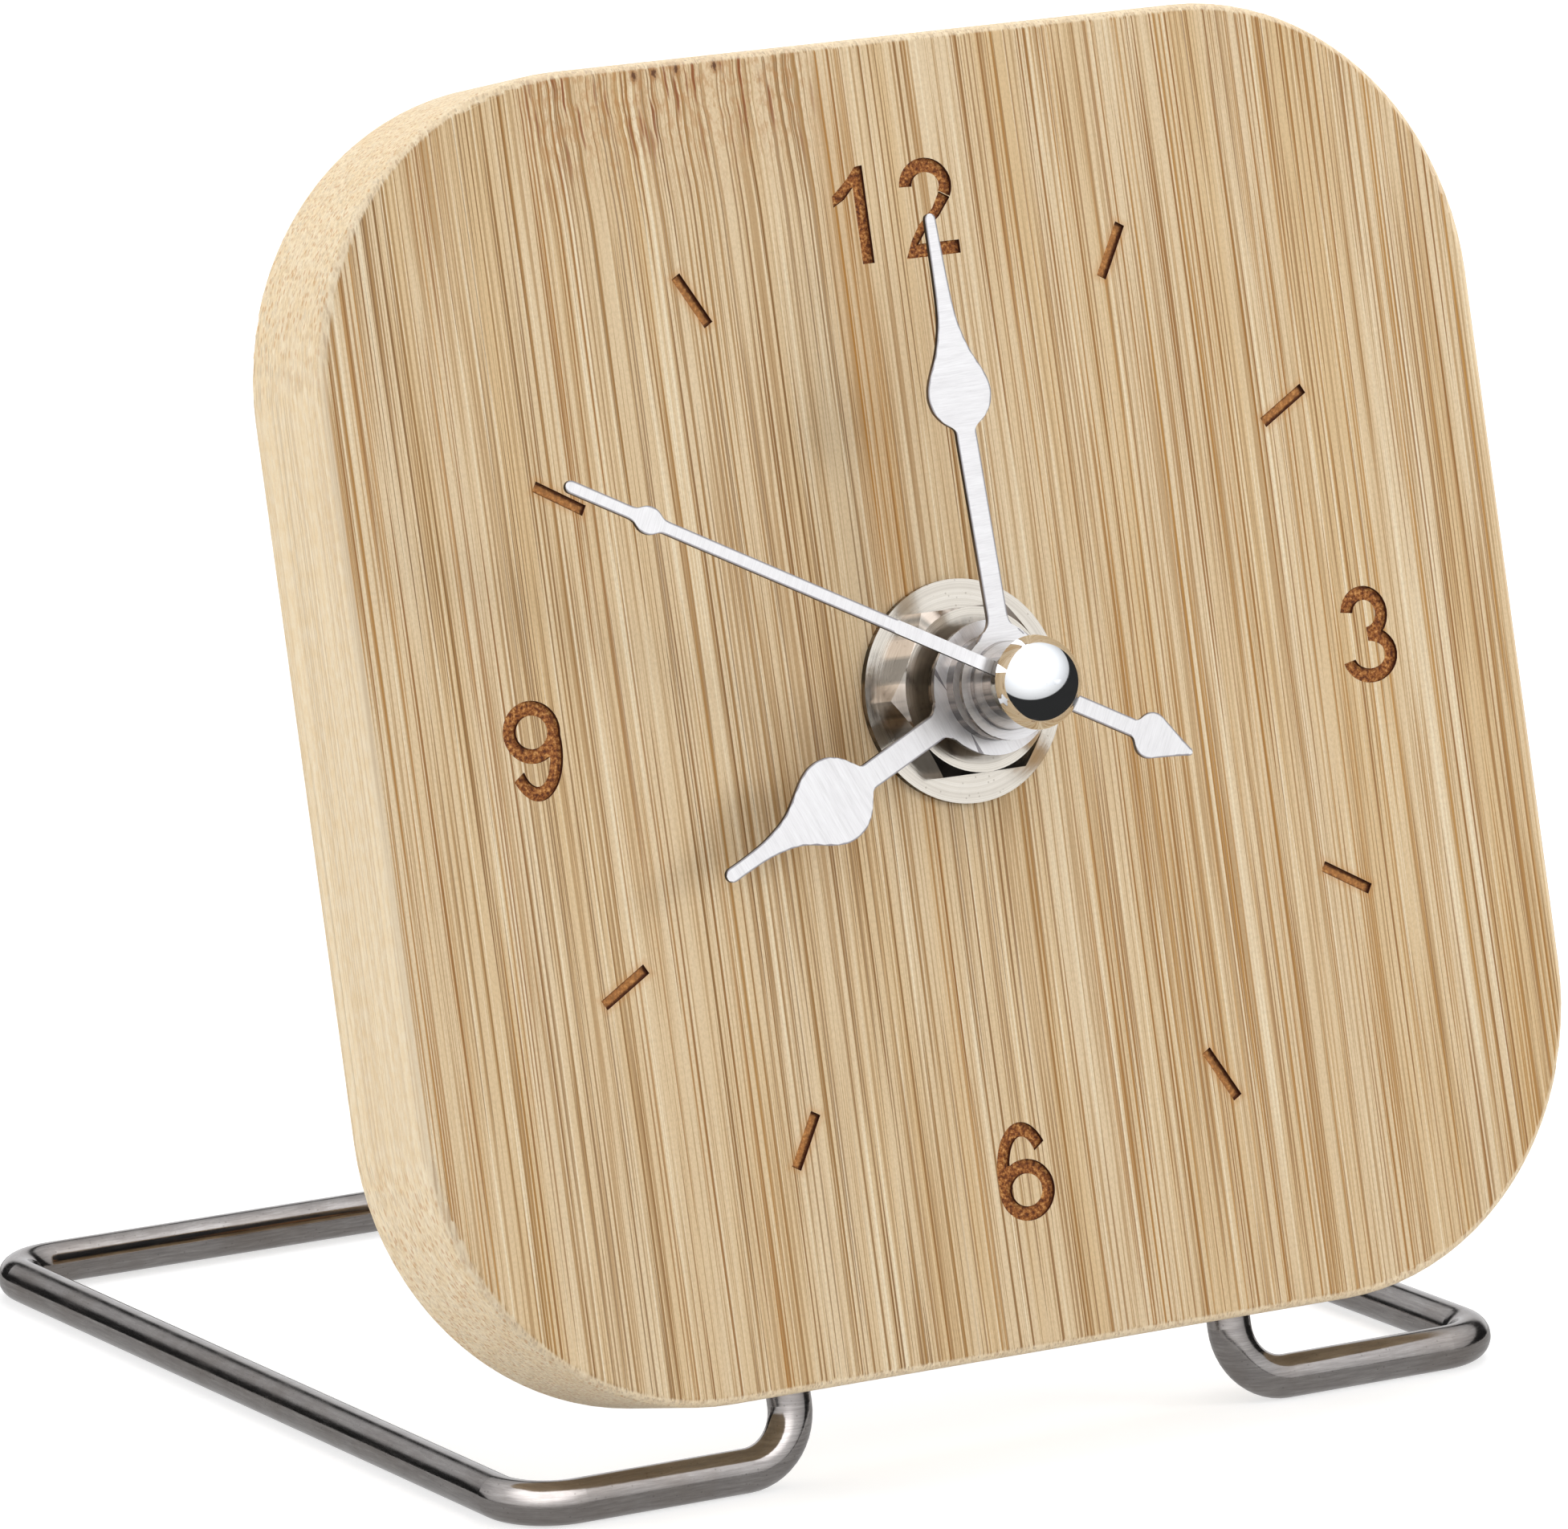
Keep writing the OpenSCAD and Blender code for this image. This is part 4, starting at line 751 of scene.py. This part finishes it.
def nickel():
    """Bright nickel plate with a warm cast, faint turning marks and a few dark specks; its sides have
    painted reflections and the nut's recess painted shade.
    """
    material, tree, shader = new_material("nickel")
    place = dial_place(tree)
    across, up, out = parts_of(tree, place)
    radius = from_axis(tree, across, up)
    drawn = joined(tree, radius, product(tree, out, NICKEL_RINGS_DRAWN), 0.0)
    rings = noise(tree, drawn, *NICKEL_RINGS)
    marks = use(tree, HANDLING, {"Vector": place, **NICKEL_HANDLING})
    colour = tinted(tree, ramp(tree, rings, NICKEL_TONES), marks["Specks"], *NICKEL_SPECK)
    # Painted reflections on the sides of the nut, washer and bushing
    side = product(tree, span(tree, facing_out(tree), *NICKEL_SIDE_REFLECTION_RANGE), NICKEL_SIDE_REFLECTION_SHARE)
    # Painted shade in the recess between the nut and the hour hand's hub
    deep = calc(tree, "LESS_THAN", out, RECESS_SHADE_LEVEL)
    recess = product(tree, span(tree, radius, *RECESS_SHADE_FROM), deep, RECESS_SHADE_SHARE)
    side_reflection_tone = mixed(tree, reflection_streaks_round(tree, across, up), *NICKEL_SIDE_REFLECTION_TONES)
    colour = mixed(tree, calc(tree, "MAXIMUM", side, recess), colour, side_reflection_tone)
    smeared = product(tree, marks["Smudges"], SMUDGE_ROUGHNESS)
    rough = calc(tree, "ADD", span(tree, rings, *NICKEL_ROUGHNESS), smeared)
    buckled = product(tree, noise(tree, place, *NICKEL_BUCKLES), NICKEL_BUCKLED)
    feed(tree, shader, Base_Color=colour, Metallic=1.0, Roughness=rough,
         Normal=relief(tree, calc(tree, "ADD", rings, buckled), *NICKEL_RELIEF))
    return material


def chrome():
    """Mirror chrome, with the faint marks that a fingertip leaves."""
    material, tree, shader = new_material("chrome")
    place = dial_place(tree)
    marks = use(tree, HANDLING, {"Vector": place, **CAP_HANDLING})
    feed(tree, shader, Base_Color=tinted(tree, CAP_TONE, marks["Specks"], *CAP_SPECK), Metallic=1.0,
         Roughness=span(tree, marks["Smudges"], *CAP_ROUGHNESS))
    return material


def turned_steel(name, light, dark, low, high):
    """Small turned or rolled steel pieces inside the movement, between two values of roughness."""
    material, tree, shader = new_material(name)
    place = dial_place(tree)
    brushed = use(tree, BRUSHING, {"Vector": place, **STEEL_BRUSHING})["Shade"]
    specks = use(tree, HANDLING, {"Vector": place, **STEEL_HANDLING})["Specks"]
    colour = mixed(tree, span(tree, brushed, *STEEL_RANGE), dark, light)
    colour = tinted(tree, colour, specks, STEEL_SPECK_SHARE, dark)
    feed(tree, shader, Base_Color=colour, Metallic=1.0,
         Roughness=span(tree, brushed, *STEEL_RANGE, low, high),
         Normal=relief(tree, brushed, *STEEL_RELIEF))
    return material


# The plastics' handling marks, dust, shine and relief
PLASTIC_HANDLING = {"Smudge": 0.1, "Speck": 1.3}
DUST = tone(176, 172, 164)
PLASTIC_SMUDGE_ROUGHNESS = 0.08
PLASTIC_SHINE = 0.45
PLASTIC_RELIEF = 0.4

# The coil: how close its turns are and how far they slant
TURNS_CLOSE = 28.0
TURNS_SLANT = 0.02
TURNS_SHADE = 0.3
COPPER_LAY = ((3.0, 0.4, 0.4), 3.0, 0.6)
COPPER_TONES = [(0.15, tone(104, 44, 20)), (0.5, tone(176, 88, 42)), (0.85, tone(214, 132, 74))]
COPPER_METALLIC = 0.8
COPPER_ROUGHNESS = (0.3, 0.7, 0.24, 0.4)
COPPER_RELIEF = (0.6, 0.03 * MM)

# The circuit board: its tracks' pitch and bends, in millimetres, and its weave
TRACK_PITCH = 0.8
TRACK_BEND = 7.0
TRACK_BENDS = ((0.14, 0.14, 0.0), 1.0)
TRACK_RANGE = (0.50, 0.58)
BOARD_WEAVE = (5.0, 2.0)
BOARD_TONES = (tone(22, 78, 44), tone(44, 120, 66))
BOARD_SHADE = (0.3, tone(12, 54, 30))
BOARD_ROUGHNESS = (0.3, 0.7, 0.22, 0.36)
BOARD_RELIEF = (0.4, 0.02 * MM)

# The battery in millimetres: where its copper band starts and ends from its cap's end, and its foot
BAND_START = 14.0
BAND_END = 2.0
FOOT_THICKNESS = 0.25

# The band and the foot as places across from the dial's centre
BATTERY_LOW, BATTERY_HIGH = (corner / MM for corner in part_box("battery"))
JACKET_BAND = (BATTERY_HIGH.x - BAND_START, BATTERY_HIGH.x - BAND_END)
BARE_FOOT = BATTERY_LOW.x + FOOT_THICKNESS

# Its printed film
JACKET_WRINKLES = ((0.5, 1.5, 1.5), 3.0, 0.6)
JACKET_HANDLING = {"Smudge": 0.12, "Speck": 0.8}
JACKET_TONES = (tone(34, 38, 46), tone(196, 138, 82))
JACKET_SMUDGE = (0.2, tone(80, 82, 86))
FOOT_TONES = (tone(176, 176, 180), tone(206, 206, 208))
JACKET_METALLIC = 0.6
JACKET_ROUGHNESS = (0.3, 0.7, 0.22, 0.38)
JACKET_RELIEF = (0.3, 0.04 * MM)


def moulded(name, dark, light, low, high, grain=6.0, depth=0.03, dust=0.25):
    """Moulded plastic between two tones and two values of roughness, with a fine grain and dust."""
    material, tree, shader = new_material(name)
    place = dial_place(tree)
    skin = use(tree, MOULDED_SKIN, {"Vector": place, "Grain": grain})
    marks = use(tree, HANDLING, {"Vector": place, **PLASTIC_HANDLING})
    colour = tinted(tree, mixed(tree, skin["Patch"], dark, light), marks["Specks"], dust, DUST)
    smeared = product(tree, marks["Smudges"], PLASTIC_SMUDGE_ROUGHNESS)
    rough = calc(tree, "ADD", span(tree, skin["Patch"], 0.0, 1.0, low, high), smeared)
    feed(tree, shader, Base_Color=colour, Roughness=rough, Specular_IOR_Level=PLASTIC_SHINE,
         Normal=relief(tree, skin["Height"], PLASTIC_RELIEF, depth * MM))
    return material


def winding():
    """Enamelled copper wire wound in close turns round the coil."""
    material, tree, shader = new_material("copper")
    place = dial_place(tree)
    across, up = parts_of(tree, place)[:2]
    slanted = calc(tree, "ADD", across, product(tree, up, TURNS_SLANT))
    turns = calc(tree, "SINE", product(tree, slanted, TURNS_CLOSE))
    lay = stretched(tree, place, *COPPER_LAY)
    colour = ramp(tree, calc(tree, "MULTIPLY_ADD", turns, TURNS_SHADE, lay), COPPER_TONES)
    feed(tree, shader, Base_Color=colour, Metallic=COPPER_METALLIC,
         Roughness=span(tree, lay, *COPPER_ROUGHNESS), Normal=relief(tree, turns, *COPPER_RELIEF))
    return material


def board():
    """Green circuit board with lighter tracks under its gloss."""
    material, tree, shader = new_material("board")
    place = dial_place(tree)
    up = parts_of(tree, place)[1]
    bent = product(tree, stretched(tree, place, *TRACK_BENDS), TRACK_BEND)
    lines = calc(tree, "PINGPONG", calc(tree, "ADD", up, bent), TRACK_PITCH)
    track = span(tree, lines, *TRACK_RANGE)
    weave = noise(tree, place, *BOARD_WEAVE)
    colour = tinted(tree, mixed(tree, track, *BOARD_TONES), weave, *BOARD_SHADE)
    feed(tree, shader, Base_Color=colour, Roughness=span(tree, weave, *BOARD_ROUGHNESS),
         Normal=relief(tree, calc(tree, "ADD", track, weave), *BOARD_RELIEF))
    return material


def cell_jacket():
    """Printed film on the battery: dark, with a copper-coloured band near its cap and a bare foot."""
    material, tree, shader = new_material("cell_jacket")
    place = dial_place(tree)
    across = parts_of(tree, place)[0]
    wrinkle = stretched(tree, place, *JACKET_WRINKLES)
    smudges = use(tree, HANDLING, {"Vector": place, **JACKET_HANDLING})["Smudges"]
    colour = mixed(tree, inside(tree, across, JACKET_BAND), *JACKET_TONES)
    colour = tinted(tree, colour, smudges, *JACKET_SMUDGE)
    bare = calc(tree, "LESS_THAN", across, BARE_FOOT)
    colour = mixed(tree, bare, colour, mixed(tree, wrinkle, *FOOT_TONES))
    feed(tree, shader, Base_Color=colour, Metallic=span(tree, bare, 0.0, 1.0, JACKET_METALLIC, 1.0),
         Roughness=span(tree, wrinkle, *JACKET_ROUGHNESS), Normal=relief(tree, wrinkle, *JACKET_RELIEF))
    return material


# Plastics: two tones, the least and greatest roughness, and any grain, depth or dust of their own
GASKET = moulded("gasket", tone(30, 30, 30), tone(40, 40, 40), 0.7, 0.82, grain=4.0, depth=0.05)
CASE = moulded("case", tone(40, 40, 42), tone(46, 46, 48), 0.36, 0.46)
KNOB = moulded("knob", tone(58, 58, 60), tone(66, 66, 68), 0.32, 0.42, grain=8.0)
WHEELS = moulded("wheels", tone(226, 226, 216), tone(238, 238, 230), 0.34, 0.44, 7.0, 0.015, 0.1)
TRAIN_PLATE = moulded("train_plate", tone(118, 124, 132), tone(134, 140, 148), 0.42, 0.52)
BOBBIN = moulded("bobbin", tone(222, 214, 190), tone(232, 226, 206), 0.36, 0.46, 7.0, 0.02, 0.1)
CHIP = moulded("chip", tone(16, 16, 17), tone(24, 24, 25), 0.28, 0.4, grain=5.0, depth=0.06)

# Steels: a light and a dark tone, and the least and greatest roughness
STEEL = turned_steel("steel", tone(206, 206, 208), tone(158, 158, 162), 0.18, 0.3)
IRON = turned_steel("iron", tone(142, 142, 146), tone(100, 100, 106), 0.3, 0.45)
MAGNET = turned_steel("magnet", tone(84, 84, 88), tone(54, 54, 58), 0.4, 0.55)
CONTACT = turned_steel("contacts", tone(222, 219, 212), tone(184, 180, 172), 0.16, 0.28)

# Each finish and the pieces that have it
FINISHES = [
    (bamboo(), ["dial_plate"]),
    (wire(), ["wire_stand"]),
    (GASKET, ["rubber_gasket"]),
    (CASE, ["movement_case", "movement_cover"]),
    (KNOB, ["setting_knob"]),
    (nickel(), ["threaded_bushing", "flat_washer", "hex_nut", "hand_nut"]),
    (hand_metal("hour_hand", HOUR_TURN), ["hour_hand"]),
    (hand_metal("minute_hand", MINUTE_TURN), ["minute_hand"]),
    (hand_metal("seconds_hand", SECONDS_TURN), ["seconds_hand"]),
    (chrome(), ["centre_cap"]),
    (STEEL, ["cannon_pinion", "seconds_arbor", "quartz_crystal"]),
    (WHEELS, ["hour_wheel", "centre_wheel", "seconds_wheel", "third_wheel", "fifth_wheel",
              "rotor_pinion", "setting_wheel"]),
    (TRAIN_PLATE, ["middle_plate", "rear_bridge"]),
    (IRON, ["stator", "coil_core"]),
    (MAGNET, ["rotor_magnet"]),
    (BOBBIN, ["coil_bobbin"]),
    (winding(), ["coil_winding"]),
    (board(), ["circuit_board"]),
    (CHIP, ["chip"]),
    (cell_jacket(), ["battery"]),
    (CONTACT, ["battery_terminal", "positive_contact", "negative_contact"]),
]
for material, names in FINISHES:
    for name in names:
        slots = NODES[name].data.materials
        slots.clear()
        slots.append(material)


# The studio. Directions are as the camera sees them: right, up and towards it

CLOCK_MIDDLE = Vector((0.0, 0.0, 0.055))
CAP_HEIGHT = 14 * MM
CAP_AT = DIAL_CENTRE - CAP_HEIGHT * BACK
ROOM_LIGHT = 0.10
ROOM_TONE = (0.97, 0.98, 1.0, 1.0)

# Each light's name, direction, distance, width, height and power
SOFTBOXES = [
    ("key_panel", (0.45, 0.50, 0.73), 1.25, 2.2, 2.0, 12.5),
    ("right_box", (0.91, 0.30, 0.28), 1.5, 0.45, 0.55, 7.0),
    ("left_box", (-0.86, 0.20, 0.10), 1.4, 0.8, 0.8, 13.0),
    ("top_box", (0.05, 0.98, -0.30), 1.4, 1.4, 1.2, 14.0),
]

# The white tent that shiny parts mirror, the dark gap under it and the backdrop behind the clock
TENT_TOWARD = (-0.10, 0.72, 0.69)
TENT_OPENS = (-0.01, 0.05)
TENT_LIGHT = (0.62, 1.85)
TENT_TOP = (0.62, 0.92)
TENT_TOP_LIGHT = 1.6
GAP_LIGHT = 0.03
BACKDROP_WAY = (0.0, 0.0, -1.0)
BACKDROP_OPENS = (0.76, 0.84)

# The paper under the clock; a mirror sees it greyer where it is close, and no further than the tent
PAPER_SIZE = 12.0
PAPER_TONES = (tone(196, 196, 196), tone(202, 202, 202))
PAPER_FIBRE = (0.5, 3.0)
PAPER_ROUGHNESS = 0.9
PAPER_SHINE = 0.1
WHITE = (1.0, 1.0, 1.0, 1.0)
PAPER_GLOW = 0.62
PAPER_GLOW_ON_CLOCK = 0.124
PAPER_CLOSE = 0.030
PAPER_CLOSE_LIGHT = 0.52
PAPER_ENDS = (0.0522, 0.058)


def camera_way(toward):
    """A direction as the camera sees it, turned into the room."""
    return CAMERA_TURN.to_matrix() @ Vector(toward).normalized()


def tent_seen(tree, direction):
    """How bright a direction looks in a mirror: the tent's cloth, its dark gap or the backdrop."""
    unit = vector_calc(tree, "NORMALIZE", direction)
    toward = dot_product(tree, unit, camera_way(TENT_TOWARD))
    cloth = span(tree, toward, *TENT_OPENS)
    glow = calc(tree, "ADD", span(tree, toward, 0.0, 1.0, *TENT_LIGHT, soft=False),
                span(tree, toward, *TENT_TOP, 0.0, TENT_TOP_LIGHT))
    backdrop = span(tree, dot_product(tree, unit, camera_way(BACKDROP_WAY)), *BACKDROP_OPENS)
    return calc(tree, "MAXIMUM", calc(tree, "MULTIPLY_ADD", cloth, glow, GAP_LIGHT), backdrop)


def paper_mirrored(tree, place, ray):
    """The paper's brightness in a mirror, by how far the mirrored ray has gone."""
    near, far = PAPER_ENDS
    close = span(tree, ray["Ray Length"], PAPER_CLOSE, near)
    paper = span(tree, close, 0.0, 1.0, PAPER_CLOSE_LIGHT, 1.0, soft=False)
    tent = tent_seen(tree, vector_calc(tree, "SUBTRACT", place, CAP_AT / MM))
    return span(tree, span(tree, ray["Ray Length"], near, far), 0.0, 1.0, paper, tent, soft=False)


def floor():
    """White paper under the clock; shiny parts see it end where the tent begins."""
    bpy.ops.mesh.primitive_plane_add(size=PAPER_SIZE, location=(0, 0, 0))
    top = bpy.context.active_object
    top.name = "studio_floor"
    material, tree, shader = new_material("studio_paper")
    place = room_place(tree)
    ray = put(tree, "ShaderNodeLightPath").outputs
    glow = span(tree, ray["Is Diffuse Ray"], 0.0, 1.0, PAPER_GLOW, PAPER_GLOW_ON_CLOCK, soft=False)
    paper_tone = mixed(tree, noise(tree, place, *PAPER_FIBRE), *PAPER_TONES)
    feed(tree, shader, Base_Color=paper_tone, Roughness=PAPER_ROUGHNESS, Specular_IOR_Level=PAPER_SHINE,
         Emission_Color=WHITE, Emission_Strength=glow)
    seen = put(tree, "ShaderNodeEmission", {"Strength": paper_mirrored(tree, place, ray)})
    ends = {0: ray["Is Glossy Ray"], 1: shader.outputs[0], 2: seen.outputs[0]}
    both = put(tree, "ShaderNodeMixShader", ends)
    connect(tree, tree.nodes["Material Output"].inputs["Surface"], both.outputs[0])
    top.data.materials.append(material)


def softbox(name, toward, distance, width, height, power):
    """A rectangular light that faces the clock; mirrors see the tent and not the light."""
    lamp = bpy.data.lights.new(name, "AREA")
    lamp.shape = "RECTANGLE"
    lamp.size, lamp.size_y = width, height
    lamp.energy = power
    holder = bpy.data.objects.new(name, lamp)
    aim = camera_way(toward)
    holder.location = CLOCK_MIDDLE + aim * distance
    holder.rotation_euler = aim.to_track_quat("Z", "Y").to_euler()
    holder.visible_glossy = False
    bpy.context.scene.collection.objects.link(holder)


def world():
    """Even light from all round, and the tent for whatever mirrors it."""
    room = bpy.data.worlds.new("studio_room")
    room.use_nodes = True
    tree = room.node_tree
    seen = tent_seen(tree, put(tree, "ShaderNodeTexCoord").outputs["Generated"])
    mirrored = put(tree, "ShaderNodeLightPath").outputs["Is Glossy Ray"]
    more = calc(tree, "SUBTRACT", seen, ROOM_LIGHT)
    shade = tree.nodes["Background"]
    shade.inputs["Color"].default_value = ROOM_TONE
    connect(tree, shade.inputs["Strength"], calc(tree, "MULTIPLY_ADD", mirrored, more, ROOM_LIGHT))
    bpy.context.scene.world = room


def camera():
    """The camera of the photograph."""
    lens = bpy.data.cameras.new("photo_camera")
    lens.sensor_fit = "HORIZONTAL"
    lens.sensor_width = SENSOR
    lens.lens = FOCAL_PIXELS * SENSOR / PHOTO_WIDTH
    lens.clip_start, lens.clip_end = CAMERA_SEES
    holder = bpy.data.objects.new("photo_camera", lens)
    holder.location = CAMERA_AT
    holder.rotation_euler = CAMERA_TURN
    bpy.context.scene.collection.objects.link(holder)
    bpy.context.scene.camera = holder


for item in bpy.context.selected_objects:
    item.select_set(False)
floor()
for box in SOFTBOXES:
    softbox(*box)
world()
camera()
bpy.context.scene.view_settings.view_transform = "Standard"
